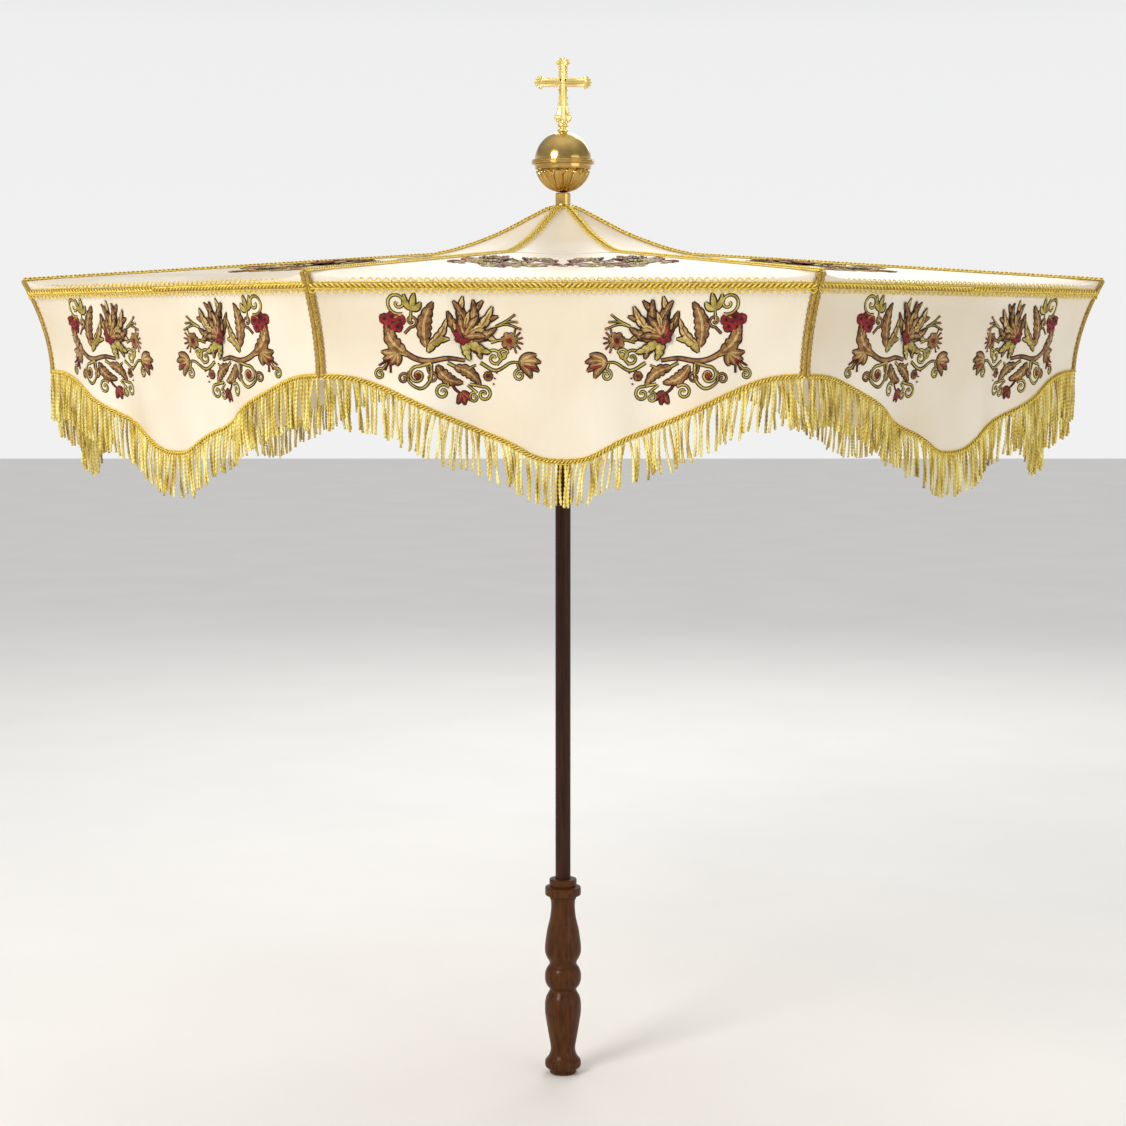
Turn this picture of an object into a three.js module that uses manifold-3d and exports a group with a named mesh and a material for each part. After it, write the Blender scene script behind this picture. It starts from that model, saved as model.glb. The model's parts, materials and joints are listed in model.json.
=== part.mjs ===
// A processional umbrella (ombrellino): an eight-ribbed ceremonial canopy on a
// turned wooden handle, with a gilt ball and cross on top. Millimetres, +Z up,
// origin at the middle of the handle's flat foot. One canopy panel faces -Y.
import * as THREE from 'three';
import { mergeVertices } from 'three/addons/utils/BufferGeometryUtils.js';
import Module from 'manifold-3d';

const wasm = await Module();
wasm.setup();

// ---- driving dimensions -------------------------------------------------

const SIDES = 8;                   // ribs, panels and stretchers
const CLEARANCE = 0.3;             // between pieces that touch

const RIM_RADIUS = 600;            // axis to the canopy's corners
const RIB_SLOPE = rad(4.1);        // how far the open ribs droop
const FABRIC = 1.2;                // thickness of the canopy cloth
const HINGE_RADIUS = 24;           // axis to the ribs' root pivots
const HINGE_HEIGHT = 942.8;        // foot to the ribs' root pivots

const RIB_WIDTH = 4;
const RIB_HEIGHT = 6;
const RIB_END_GAP = 3;             // rib tip to the canopy's corner
const EYE_RADIUS = 4;
const PIVOT_HOLE = 1.7;            // radius of the holes through the ribs
const LUG_REACH = 200;             // root pivot to stretcher pivot, along the rib
const LUG_DROP = 12;               // stretcher pivot below the rib's middle
const LUG_RADIUS = 3.8;

const STRETCHER_WIDTH = 4;
const STRETCHER_HEIGHT = 5;
const FORK_LENGTH = 18;
const FORK_ROOT = 9.5;             // stretcher pivot to the bottom of the fork
const CHEEK = 2;
const CHEEK_GAP = 0.4;             // fork cheek to rib lug
const RIVET_RADIUS = 1.3;

const POLE_RADIUS = 8.7;
const POLE_SPIGOT = 6;             // radius of the turned-down top of the pole
const SOCKET_DEPTH = 60;           // how far the pole sits in the handle
const RUNNER_GAP = 0.4;            // pole to runner bore
const RUNNER_WALL = 3.9;
const RUNNER_LENGTH = 58;
const FLANGE_EDGE = 7;             // stretcher ends to the flange's edge
const FLANGE_HEIGHT = 12;
const SLOT_GAP = 0.5;              // rib or stretcher to each side of its slot

const CROWN_EDGE = 6;              // rib pivots to the crown's edge
const CROWN_BELOW = 7.8;           // crown under the rib pivots
const CROWN_ABOVE = 7;             // crown over the rib pivots
const WIRE_RADIUS = 1.2;

const PANEL_START = 4;             // crown's edge to the panels' cloth
const PEAK_RISE = 45;              // hem line to top of the peak cover
const PEAK_RADIUS = 140;           // hem of the peak cover
const TUBE_RADIUS = 8.9;           // brass tube above the cloth
const TUBE_HEIGHT = 24;
const BALL_RADIUS = 32;
const BALL_HALF = 33.7;            // half the ball's height
const BALL_WALL = 1.6;
const BAND_RADIUS = 35.3;
const BAND_HEIGHT = 6;
const NECK_HEIGHT = 8;
const CROSS_HEIGHT = 74;           // neck to the top of the cross
const CROSS_WIDTH = 64;
const CROSS_ARM = 28;              // top of the cross to the crossbar's middle
const CROSS_DEPTH = 5;

const VALANCE_LEAN = rad(9);       // how far the valance leans in
const VALANCE_CORNER = 98;         // depth of the cloth at a corner
const VALANCE_MIDDLE = 176;        // depth of the cloth at mid-panel
const VALANCE_TIP = 30;            // half the rounded tip's width
const FRINGE = 42;                 // drop of the fringe below the cloth

const GRIP_RADIUS = 20.9;          // the handle's widest places
const WAIST_RADIUS = 15.5;         // the grooves between its turned parts
const FOOT_HEIGHT = 22;
const LOWER_VASE = 77;
const BEAD_HEIGHT = 30.3;
const UPPER_VASE = 77.3;
const COLLAR_HEIGHT = 22.4;

// ---- sizes that follow --------------------------------------------------

const HALF_SIDE = Math.PI / SIDES;
const STEP = 2 * HALF_SIDE;
const APOTHEM = RIM_RADIUS * Math.cos(HALF_SIDE);
const HALF_RIM = RIM_RADIUS * Math.sin(HALF_SIDE);
const CLOTH_LIFT = RIB_HEIGHT / 2 + CLEARANCE + FABRIC;
const CLOTH_APEX = HINGE_HEIGHT + HINGE_RADIUS * Math.tan(RIB_SLOPE) + CLOTH_LIFT / Math.cos(RIB_SLOPE);
const RIM_HEIGHT = CLOTH_APEX - RIM_RADIUS * Math.tan(RIB_SLOPE);
const PANEL_SLOPE = Math.atan((CLOTH_APEX - RIM_HEIGHT) / APOTHEM);
const PANEL_LENGTH = APOTHEM / Math.cos(PANEL_SLOPE);
const RIB_LENGTH = (RIM_RADIUS - RIB_END_GAP - HINGE_RADIUS) / Math.cos(RIB_SLOPE);
const STRETCHER_LENGTH = Math.hypot(LUG_REACH, LUG_DROP);
const STRETCHER_SLOPE = RIB_SLOPE + Math.atan2(LUG_DROP, LUG_REACH);
const RUNNER_PIVOT = HINGE_HEIGHT - 2 * STRETCHER_LENGTH * Math.sin(STRETCHER_SLOPE);
const HEM_HEIGHT = CLOTH_APEX - PEAK_RADIUS * Math.tan(RIB_SLOPE) + CLEARANCE;
const PEAK_TOP = HEM_HEIGHT + FABRIC + PEAK_RISE + PEAK_RADIUS * Math.tan(RIB_SLOPE);
const POLE_TOP = PEAK_TOP - 10;
const TUBE_BOTTOM = POLE_TOP + CLEARANCE;
const BALL_BOTTOM = TUBE_BOTTOM + TUBE_HEIGHT;
const BALL_MIDDLE = BALL_BOTTOM + CLEARANCE + BALL_HALF;
const BALL_TOP = BALL_MIDDLE + BALL_HALF;
const HANDLE_HEIGHT = FOOT_HEIGHT + LOWER_VASE + BEAD_HEIGHT + UPPER_VASE + COLLAR_HEIGHT;
const POLE_BOTTOM = HANDLE_HEIGHT - SOCKET_DEPTH;
const RUNNER_RADIUS = POLE_RADIUS + RUNNER_GAP + RUNNER_WALL;
const FLANGE_RADIUS = HINGE_RADIUS + FLANGE_EDGE;
const CROWN_RADIUS = HINGE_RADIUS + CROWN_EDGE;
const PANEL_INNER = CROWN_RADIUS + PANEL_START;
const SLOT_WIDTH = Math.max(RIB_WIDTH, STRETCHER_WIDTH) + 2 * SLOT_GAP;

// ---- helpers ------------------------------------------------------------

function rad(degrees) {
  return degrees * Math.PI / 180;
}

function tidy(geometry) {
  const bare = geometry.index ? geometry.toNonIndexed() : geometry.clone();
  bare.deleteAttribute('normal');
  bare.deleteAttribute('uv');
  return mergeVertices(bare, 1e-4);
}

function solid(geometry) {
  const bare = tidy(geometry);
  return new wasm.Manifold(new wasm.Mesh({
    numProp: 3,
    vertProperties: Float32Array.from(bare.attributes.position.array),
    triVerts: Uint32Array.from(bare.index.array),
  }));
}

function toGeometry(manifold) {
  const mesh = manifold.getMesh();
  const geometry = new THREE.BufferGeometry();
  geometry.setAttribute('position', new THREE.BufferAttribute(mesh.vertProperties, 3));
  geometry.setIndex(new THREE.BufferAttribute(mesh.triVerts, 1));
  geometry.computeVertexNormals();
  return geometry;
}

// A profile of [radius, height] pairs turned about Z.
function turned(profile, segments = 24, start = 0) {
  const points = profile.map(([r, z]) => new THREE.Vector2(r, z));
  return new THREE.LatheGeometry(points, segments, start).rotateX(Math.PI / 2);
}

function outline(points) {
  return new THREE.Shape(points.map(([x, y]) => new THREE.Vector2(x, y)));
}

function slab(shape, depth, curveSegments = 6) {
  return new THREE.ExtrudeGeometry(shape, { depth, bevelEnabled: false, curveSegments });
}

// A slab drawn in the upright XZ plane, centred on Y = 0.
function uprightSlab(shape, depth, curveSegments = 6) {
  return slab(shape, depth, curveSegments).translate(0, 0, -depth / 2).rotateX(Math.PI / 2);
}

function box(x0, x1, y0, y1, z0, z1) {
  return new THREE.BoxGeometry(x1 - x0, y1 - y0, z1 - z0)
    .translate((x0 + x1) / 2, (y0 + y1) / 2, (z0 + z1) / 2);
}

function material(color, roughness, metalness) {
  return new THREE.MeshStandardMaterial({ color, roughness, metalness });
}

const group = new THREE.Group();

function piece(name, geometry, look, parent = group) {
  const mesh = new THREE.Mesh(geometry, look.clone());
  mesh.name = name;
  parent.add(mesh);
  return mesh;
}

const stainedWood = material(0x371e19, 0.45, 0);
const handleWood = material(0x4b2a12, 0.4, 0);
const brass = material(0xbe963c, 0.3, 1);
const gilt = material(0xfae182, 0.25, 1);
const steel = material(0x9a9c9e, 0.4, 1);
const satin = material(0xf0e4cd, 0.55, 0);

// ---- pole and handle ----------------------------------------------------

// One turned part of the handle: [share of its height, share of the way out
// from the waist to the grip] pairs, from the bottom up.
function turnedPart(base, height, pairs) {
  const swell = GRIP_RADIUS - WAIST_RADIUS;
  return pairs.map(([up, out]) => [WAIST_RADIUS + out * swell, base + up * height]);
}

// The handle: foot ring, lower vase, bead, upper vase and a double collar.
function handleGeometry() {
  const vaseBase = FOOT_HEIGHT;
  const beadBase = vaseBase + LOWER_VASE;
  const upperBase = beadBase + BEAD_HEIGHT;
  const collarBase = upperBase + UPPER_VASE;
  const bore = POLE_RADIUS + CLEARANCE;
  return turned([
    [0, 0],
    ...turnedPart(0, FOOT_HEIGHT, [[0, 0], [0.34, 0], [0.43, 0.85], [0.6, 1], [0.83, 0.85]]),
    ...turnedPart(vaseBase, LOWER_VASE, [
      [0, 0], [0.07, -0.25], [0.12, -0.2], [0.21, 0], [0.37, 0.4], [0.52, 0.72], [0.65, 1],
      [0.8, 1], [0.88, 0.72], [0.95, 0.3],
    ]),
    ...turnedPart(beadBase, BEAD_HEIGHT, [
      [0, 0], [0.15, 0.6], [0.31, 0.93], [0.49, 1], [0.66, 0.91], [0.83, 0.55],
    ]),
    ...turnedPart(upperBase, UPPER_VASE, [
      [0, 0], [0.06, 0.32], [0.13, 0.8], [0.2, 1], [0.31, 0.93], [0.51, 0.56], [0.69, -0.1], [0.9, -0.35],
    ]),
    ...turnedPart(collarBase, COLLAR_HEIGHT, [[0, 0], [0.1, 0.9], [0.57, 0.9], [0.62, 0], [1, 0]]),
    [bore, HANDLE_HEIGHT], [bore, POLE_BOTTOM - CLEARANCE], [0, POLE_BOTTOM - CLEARANCE],
  ], 24);
}

const CATCH_WIDTH = 2.2;
const CATCH_LENGTH = 30;
const CATCH_DEPTH = 3;
const CATCH_PROUD = 2.6;
const runnerBottom = RUNNER_PIVOT + FLANGE_HEIGHT / 2 - RUNNER_LENGTH;

// The pole: turned down at the top, with a slot for the catch below the runner.
function poleGeometry() {
  const pole = solid(turned([
    [0, POLE_BOTTOM], [POLE_RADIUS, POLE_BOTTOM], [POLE_RADIUS, POLE_TOP],
    [POLE_SPIGOT, POLE_TOP], [POLE_SPIGOT, POLE_TOP + TUBE_HEIGHT - 6], [0, POLE_TOP + TUBE_HEIGHT - 6],
  ]));
  const half = CATCH_WIDTH / 2 + CLEARANCE;
  const slot = solid(box(
    POLE_RADIUS - CATCH_DEPTH - CLEARANCE, POLE_RADIUS + 2, -half, half,
    runnerBottom - CATCH_LENGTH - 2 * CLEARANCE, runnerBottom,
  ));
  return toGeometry(pole.subtract(slot));
}

// The catch: a leaf let into the pole, whose step stands out under the runner.
function catchGeometry() {
  const inner = POLE_RADIUS - CATCH_DEPTH;
  const top = runnerBottom - CLEARANCE;
  const bottom = top - CATCH_LENGTH;
  return uprightSlab(outline([
    [inner, bottom], [inner + 1.2, bottom], [POLE_RADIUS + CATCH_PROUD, top - 6],
    [POLE_RADIUS + CATCH_PROUD, top], [inner, top],
  ]), CATCH_WIDTH);
}

piece('handle', handleGeometry(), handleWood);
piece('pole', poleGeometry(), stainedWood);
piece('catch_spring', catchGeometry(), steel);

// ---- crown and runner ---------------------------------------------------

// A box through each rib's place, reaching outwards from the given radius.
function ribSlots(inner, outer, bottom, top) {
  const slots = [];
  for (let k = 0; k < SIDES; k += 1) {
    const slot = box(inner, outer, -SLOT_WIDTH / 2, SLOT_WIDTH / 2, bottom, top);
    slots.push(solid(slot.rotateZ(ribAzimuth(k))));
  }
  return wasm.Manifold.union(slots);
}

function ribAzimuth(k) {
  return HALF_SIDE + k * STEP;
}

const SLOT_ROOT = HINGE_RADIUS - EYE_RADIUS - 2;

// The crown: a slotted disc with a ring groove that holds the ribs' wire.
function crownGeometry() {
  const bottom = HINGE_HEIGHT - CROWN_BELOW;
  const top = HINGE_HEIGHT + CROWN_ABOVE;
  const floor = HINGE_HEIGHT - WIRE_RADIUS - CLEARANCE;
  const grooveInner = HINGE_RADIUS - WIRE_RADIUS - CLEARANCE;
  const grooveOuter = HINGE_RADIUS / Math.cos(HALF_SIDE) + WIRE_RADIUS + CLEARANCE;
  const bore = POLE_RADIUS + CLEARANCE;
  const disc = solid(turned([
    [bore, bottom], [CROWN_RADIUS, bottom], [CROWN_RADIUS, top], [grooveOuter, top],
    [grooveOuter, floor], [grooveInner, floor], [grooveInner, top], [bore, top], [bore, bottom],
  ], 32));
  return toGeometry(disc.subtract(ribSlots(SLOT_ROOT, 2 * CROWN_RADIUS, bottom - 5, top + 5)));
}

// The wire: an eight-sided ring through the eyes at the ribs' roots.
function wireGeometry() {
  const corner = HINGE_RADIUS / Math.cos(HALF_SIDE);
  const section = [];
  for (let k = 0; k <= 8; k += 1) {
    const turn = k * Math.PI / 4;
    section.push([corner + WIRE_RADIUS * Math.cos(turn), HINGE_HEIGHT + WIRE_RADIUS * Math.sin(turn)]);
  }
  return turned(section, SIDES, Math.PI / 2);
}

// The runner: a sleeve on the pole whose flange is slotted for the stretchers.
function runnerGeometry() {
  const bore = POLE_RADIUS + RUNNER_GAP;
  const top = RUNNER_PIVOT + FLANGE_HEIGHT / 2;
  const under = RUNNER_PIVOT - FLANGE_HEIGHT / 2;
  const body = solid(turned([
    [bore, runnerBottom], [RUNNER_RADIUS + 2.5, runnerBottom], [RUNNER_RADIUS + 2.5, runnerBottom + 7],
    [RUNNER_RADIUS, runnerBottom + 9], [RUNNER_RADIUS, under], [FLANGE_RADIUS, under],
    [FLANGE_RADIUS, top], [bore, top], [bore, runnerBottom],
  ], 32));
  return toGeometry(body.subtract(ribSlots(SLOT_ROOT, 2 * FLANGE_RADIUS, under - 1, top + 1)));
}

piece('crown', crownGeometry(), brass);
piece('crown_wire', wireGeometry(), steel);
piece('runner', runnerGeometry(), brass);

// ---- ribs and stretchers ------------------------------------------------

// A rib, drawn from its root pivot along +X, with a lug for the stretcher.
function ribGeometry() {
  const half = RIB_HEIGHT / 2;
  const lugSide = 2 * LUG_RADIUS;
  const shape = new THREE.Shape();
  const neck = Math.asin(half / EYE_RADIUS);
  shape.moveTo(RIB_LENGTH, half);
  shape.absarc(0, 0, EYE_RADIUS, neck, 2 * Math.PI - neck, false);
  shape.lineTo(LUG_REACH - lugSide, -half);
  shape.absarc(LUG_REACH, -LUG_DROP, LUG_RADIUS, Math.PI, 2 * Math.PI, false);
  shape.lineTo(LUG_REACH + lugSide, -half);
  shape.lineTo(RIB_LENGTH, -half);
  for (const [x, y] of [[0, 0], [LUG_REACH, -LUG_DROP]]) {
    const hole = new THREE.Path();
    hole.absarc(x, y, PIVOT_HOLE, 0, 2 * Math.PI, true);
    shape.holes.push(hole);
  }
  return uprightSlab(shape, RIB_WIDTH);
}

// A stretcher, drawn from its rib pivot along +X: fork, rivet, bar and eye.
function stretcherGeometry() {
  const half = STRETCHER_HEIGHT / 2;
  const eye = EYE_RADIUS - 0.5;
  const inside = RIB_WIDTH / 2 + CHEEK_GAP;
  const outside = inside + CHEEK;
  const cheek = new THREE.Shape();
  const neck = Math.asin(half / eye);
  cheek.moveTo(FORK_LENGTH, half);
  cheek.absarc(0, 0, eye, neck, 2 * Math.PI - neck, false);
  cheek.lineTo(FORK_LENGTH, -half);
  const bar = new THREE.Shape();
  bar.moveTo(FORK_ROOT, -half);
  bar.lineTo(STRETCHER_LENGTH - Math.cos(neck) * eye, -half);
  bar.absarc(STRETCHER_LENGTH, 0, eye, neck - Math.PI, Math.PI - neck, false);
  bar.lineTo(FORK_ROOT, half);
  const rivet = new THREE.CylinderGeometry(RIVET_RADIUS, RIVET_RADIUS, 2 * inside + 1, 8);
  return toGeometry(wasm.Manifold.union([
    solid(uprightSlab(cheek, CHEEK).translate(0, inside + CHEEK / 2, 0)),
    solid(uprightSlab(cheek, CHEEK).translate(0, -inside - CHEEK / 2, 0)),
    solid(uprightSlab(bar, STRETCHER_WIDTH)),
    solid(box(FORK_ROOT, FORK_LENGTH, -outside, outside, -half, half)),
    solid(rivet),
  ]));
}

for (let k = 0; k < SIDES; k += 1) {
  const arm = new THREE.Group();
  arm.rotation.z = ribAzimuth(k);
  const root = new THREE.Group();
  root.position.set(HINGE_RADIUS, 0, HINGE_HEIGHT);
  root.rotation.y = RIB_SLOPE;
  arm.add(root);
  group.add(arm);
  piece(`rib_${k + 1}`, ribGeometry(), steel, root);

  const joint = new THREE.Group();
  joint.position.set(LUG_REACH, 0, -LUG_DROP);
  joint.rotation.y = Math.PI - STRETCHER_SLOPE - RIB_SLOPE;
  root.add(joint);
  piece(`stretcher_${k + 1}`, stretcherGeometry(), steel, joint);
}

// ---- canopy -------------------------------------------------------------

const RIB_SEAM = 0.4;              // half the gap between panels over a rib

// Half a top panel, drawn with its rim on Y and its narrow end towards -X.
function panelGeometry(side) {
  const taper = HALF_RIM / PANEL_LENGTH;
  const inner = -PANEL_LENGTH + PANEL_INNER;
  const seam = CLEARANCE / 2;
  const points = [
    [inner, seam], [0, seam], [0, HALF_RIM - RIB_SEAM], [inner, PANEL_INNER * taper - RIB_SEAM],
  ];
  return slab(outline(mirrored(points, side)), FABRIC).translate(0, 0, -FABRIC);
}

// Half a valance with its fringe, drawn hanging along +X from the rim on Y.
function valanceGeometry(side) {
  const top = FABRIC + CLEARANCE;
  const seam = CLEARANCE / 2;
  const tuck = Math.tan(HALF_SIDE) * Math.sin(VALANCE_LEAN);
  const mitre = FABRIC * Math.tan(HALF_SIDE) + CLEARANCE;
  const corner = VALANCE_CORNER + FRINGE;
  const middle = VALANCE_MIDDLE + FRINGE;
  const points = [[top, seam], [middle, seam], [middle, VALANCE_TIP / 2]];
  const bend = 4;
  for (let k = 0; k <= bend; k += 1) {
    const along = k / bend;
    const y = VALANCE_TIP + along * (HALF_RIM - VALANCE_TIP);
    const arch = 5 * Math.sin(along * Math.PI) - 3 * (1 - along);
    const trim = k === bend ? corner * tuck + mitre : 0;
    points.push([middle + along * (corner - middle) - arch, y - trim]);
  }
  points.push([top, HALF_RIM - top * tuck - mitre]);
  return slab(outline(mirrored(points, side)), FABRIC).translate(0, 0, -FABRIC);
}

// Side 1 keeps the outline; side -1 flips it and keeps it anticlockwise.
function mirrored(points, side) {
  return side > 0 ? points : points.map(([x, y]) => [x, -y]).reverse();
}

// The peak cover: a tent from the brass tube down onto the panels.
function peakGeometry() {
  const bore = TUBE_RADIUS + CLEARANCE;
  const outer = [];
  const inner = [];
  const steps = 6;
  for (let k = 0; k <= steps; k += 1) {
    const along = k / steps;
    const radius = bore + FABRIC + along * (PEAK_RADIUS - bore - FABRIC);
    const fall = (PEAK_TOP - HEM_HEIGHT - FABRIC) * (1 - (1 - along) ** 1.25);
    outer.push([radius, PEAK_TOP - fall]);
    inner.push([Math.max(radius - FABRIC, bore), PEAK_TOP - FABRIC - fall]);
  }
  inner[0] = [bore, PEAK_TOP - FABRIC];
  inner[steps] = [PEAK_RADIUS, HEM_HEIGHT];
  const loop = [...inner, ...outer.reverse(), inner[0]];
  return turned(loop, 32);
}

for (let k = 0; k < SIDES; k += 1) {
  const side = new THREE.Group();
  side.rotation.z = k * STEP;
  const rim = new THREE.Group();
  rim.position.set(APOTHEM, 0, RIM_HEIGHT);
  side.add(rim);
  group.add(side);
  for (const [letter, hand] of [['a', -1], ['b', 1]]) {
    const half = `${k + 1}${letter}`;
    const panel = piece(`panel_${half}`, panelGeometry(hand), satin, rim);
    panel.rotation.y = PANEL_SLOPE;
    const valance = piece(`valance_${half}`, valanceGeometry(hand), satin, rim);
    valance.rotation.y = Math.PI / 2 + VALANCE_LEAN;
  }
}
piece('peak_cover', peakGeometry(), satin);

// ---- finial -------------------------------------------------------------

function tubeGeometry() {
  const bore = POLE_SPIGOT + CLEARANCE;
  const top = TUBE_BOTTOM + TUBE_HEIGHT;
  return turned([
    [bore, TUBE_BOTTOM], [TUBE_RADIUS, TUBE_BOTTOM], [TUBE_RADIUS, top], [bore, top], [bore, TUBE_BOTTOM],
  ]);
}

// Points up one side of the ball, between two heights above its middle.
function ballArc(from, to, steps) {
  const points = [];
  for (let k = 0; k <= steps; k += 1) {
    const height = from + (to - from) * k / steps;
    const radius = BALL_RADIUS * Math.sqrt(Math.max(0, 1 - (height / BALL_HALF) ** 2));
    points.push([radius, BALL_MIDDLE + height]);
  }
  return points;
}

// Half the hollow ball, closed at its pole and open where the band sits.
function ballGeometry(from, to) {
  const steps = 8;
  const outer = ballArc(from, to, steps);
  const open = from === -BALL_HALF ? steps : 0;
  const centre = steps - open;
  const [rimRadius, rimHeight] = outer[open];
  const inwards = 1 - BALL_WALL / BALL_RADIUS;
  const inner = outer.filter((point, k) => k !== open && k !== centre)
    .map(([r, z]) => [r * inwards, BALL_MIDDLE + (z - BALL_MIDDLE) * inwards]);
  const crownInside = [0, outer[centre][1] - Math.sign(outer[centre][1] - BALL_MIDDLE) * BALL_WALL];
  const rimInside = [rimRadius - BALL_WALL, rimHeight];
  return open
    ? turned([...outer, rimInside, ...inner.reverse(), crownInside], 24)
    : turned([crownInside, ...inner.reverse(), rimInside, ...outer], 24);
}

// The band: a grooved ring between the two halves of the ball.
function bandGeometry() {
  const half = BAND_HEIGHT / 2;
  const bore = BALL_RADIUS - 3 * BALL_WALL;
  return turned([
    [bore, BALL_MIDDLE - half], [BAND_RADIUS - 1.5, BALL_MIDDLE - half],
    [BAND_RADIUS, BALL_MIDDLE - half + 1], [BAND_RADIUS - 1, BALL_MIDDLE],
    [BAND_RADIUS, BALL_MIDDLE + half - 1], [BAND_RADIUS - 1.5, BALL_MIDDLE + half],
    [bore, BALL_MIDDLE + half], [bore, BALL_MIDDLE - half],
  ], 32);
}

// The cross: a turned neck and knob, and a flat cross with three-lobed ends.
function crossGeometry() {
  const foot = BALL_TOP + CLEARANCE;
  const bottom = foot + NECK_HEIGHT - 2;
  const top = foot + NECK_HEIGHT + CROSS_HEIGHT;
  const bar = top - CROSS_ARM;
  const neck = solid(turned([
    [0, foot], [6.5, foot], [6.5, foot + 2], [3.5, foot + 4], [6, foot + 6], [3, foot + NECK_HEIGHT + 2],
    [0, foot + NECK_HEIGHT + 2],
  ], 16));
  const half = 4.2;
  const reach = CROSS_WIDTH / 2;
  const lobe = 7;
  const side = reach - 8;
  const shapes = [
    outline([[-8.5, bottom + 6], [-3, bottom], [3, bottom], [8.5, bottom + 6], [half, bottom + 16],
      [half, top - 8], [-half, top - 8], [-half, bottom + 16]]),
    outline([[-side, bar - half], [side, bar - half], [side, bar + half], [-side, bar + half]]),
    lobedEnd(0, top, Math.PI / 2, lobe),
    lobedEnd(reach, bar, 0, lobe),
    lobedEnd(-reach, bar, Math.PI, lobe),
  ];
  const plates = shapes.map((shape) => solid(uprightSlab(shape, CROSS_DEPTH)));
  return toGeometry(wasm.Manifold.union([neck, ...plates]));
}

// A shell-shaped end whose outermost point is at x, y.
function lobedEnd(x, y, angle, lobe) {
  const points = [[-9.5, -3.5], [-5, -lobe], [-1.2, -5], [0, 0], [-1.2, 5], [-5, lobe], [-9.5, 3.5]];
  const c = Math.cos(angle);
  const s = Math.sin(angle);
  return outline(points.map(([u, v]) => [x + c * u - s * v, y + s * u + c * v]));
}

piece('finial_tube', tubeGeometry(), brass);
piece('ball_lower', ballGeometry(-BALL_HALF, -BAND_HEIGHT / 2 - CLEARANCE), brass);
piece('ball_band', bandGeometry(), brass);
piece('ball_upper', ballGeometry(BAND_HEIGHT / 2 + CLEARANCE, BALL_HALF), brass);
piece('cross', crossGeometry(), gilt);

export default group;
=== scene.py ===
# A processional umbrella: satin canopy on eight ribs, fringed valances, a gilt
# ball and cross, and a turned wooden handle.
import json
import math
import random

import bmesh
import bpy
import numpy as np
from mathutils import Matrix, Vector


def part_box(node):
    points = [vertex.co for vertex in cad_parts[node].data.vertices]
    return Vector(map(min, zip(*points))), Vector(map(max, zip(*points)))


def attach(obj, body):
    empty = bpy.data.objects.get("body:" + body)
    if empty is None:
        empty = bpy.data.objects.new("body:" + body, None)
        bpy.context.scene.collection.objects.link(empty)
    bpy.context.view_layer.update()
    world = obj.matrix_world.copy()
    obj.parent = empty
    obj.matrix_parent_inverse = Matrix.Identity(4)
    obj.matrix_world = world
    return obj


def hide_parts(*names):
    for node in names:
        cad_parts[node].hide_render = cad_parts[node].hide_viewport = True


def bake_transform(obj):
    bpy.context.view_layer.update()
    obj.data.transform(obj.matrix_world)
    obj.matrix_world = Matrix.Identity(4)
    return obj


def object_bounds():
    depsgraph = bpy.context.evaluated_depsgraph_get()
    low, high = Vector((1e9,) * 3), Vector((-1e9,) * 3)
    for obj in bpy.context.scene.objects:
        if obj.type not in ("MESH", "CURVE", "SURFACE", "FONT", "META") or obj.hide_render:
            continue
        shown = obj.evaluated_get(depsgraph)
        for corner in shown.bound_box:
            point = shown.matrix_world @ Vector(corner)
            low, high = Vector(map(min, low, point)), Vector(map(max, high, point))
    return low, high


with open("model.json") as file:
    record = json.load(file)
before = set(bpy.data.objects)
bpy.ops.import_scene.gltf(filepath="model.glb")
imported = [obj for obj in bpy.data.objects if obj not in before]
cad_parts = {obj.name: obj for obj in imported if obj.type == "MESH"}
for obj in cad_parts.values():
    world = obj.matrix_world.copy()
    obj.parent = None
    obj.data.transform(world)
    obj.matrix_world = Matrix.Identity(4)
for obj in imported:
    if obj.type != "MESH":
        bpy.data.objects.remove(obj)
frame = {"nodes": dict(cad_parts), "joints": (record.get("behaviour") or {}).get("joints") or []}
cad_low, cad_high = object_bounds()
joints = {joint["name"]: joint for joint in frame["joints"]}

# ---- Camera, floor and light ----
# The camera looks slightly down from across the room, level with the canopy's
# underside. The floor and the backdrop are one pale sweep, lit by soft boxes.
eye = bpy.data.objects.new("camera", bpy.data.cameras.new("camera"))
bpy.context.collection.objects.link(eye)
eye.data.lens = 74.2
eye.data.sensor_width = 36
eye.data.clip_end = 60
eye.location = (0, -2.626, 0.846)
eye.rotation_euler = (math.radians(90 - 5.49), 0, 0)
bpy.context.scene.camera = eye
bpy.context.scene.view_settings.view_transform = "Standard"


def make_material(name, color, roughness, metallic=0.0):
    """A principled material, with its nodes, links and shader to build on."""
    material = bpy.data.materials.new(name)
    material.use_nodes = True
    shader = material.node_tree.nodes["Principled BSDF"]
    shader.inputs["Base Color"].default_value = (*color, 1)
    shader.inputs["Roughness"].default_value = roughness
    shader.inputs["Metallic"].default_value = metallic
    return material, material.node_tree.nodes, material.node_tree.links, shader


def pattern_coordinates(nodes, links, scale, source="Object"):
    """Coordinates that stay with the piece, stretched by scale."""
    where = nodes.new("ShaderNodeTexCoord")
    mapping = nodes.new("ShaderNodeMapping")
    mapping.inputs["Scale"].default_value = scale
    links.new(where.outputs[source], mapping.inputs["Vector"])
    return mapping.outputs["Vector"]


def noise(nodes, links, vector, scale, detail=3.0, roughness=0.5):
    texture = nodes.new("ShaderNodeTexNoise")
    texture.inputs["Scale"].default_value = scale
    texture.inputs["Detail"].default_value = detail
    texture.inputs["Roughness"].default_value = roughness
    links.new(vector, texture.inputs["Vector"])
    return texture.outputs["Fac"]


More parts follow.
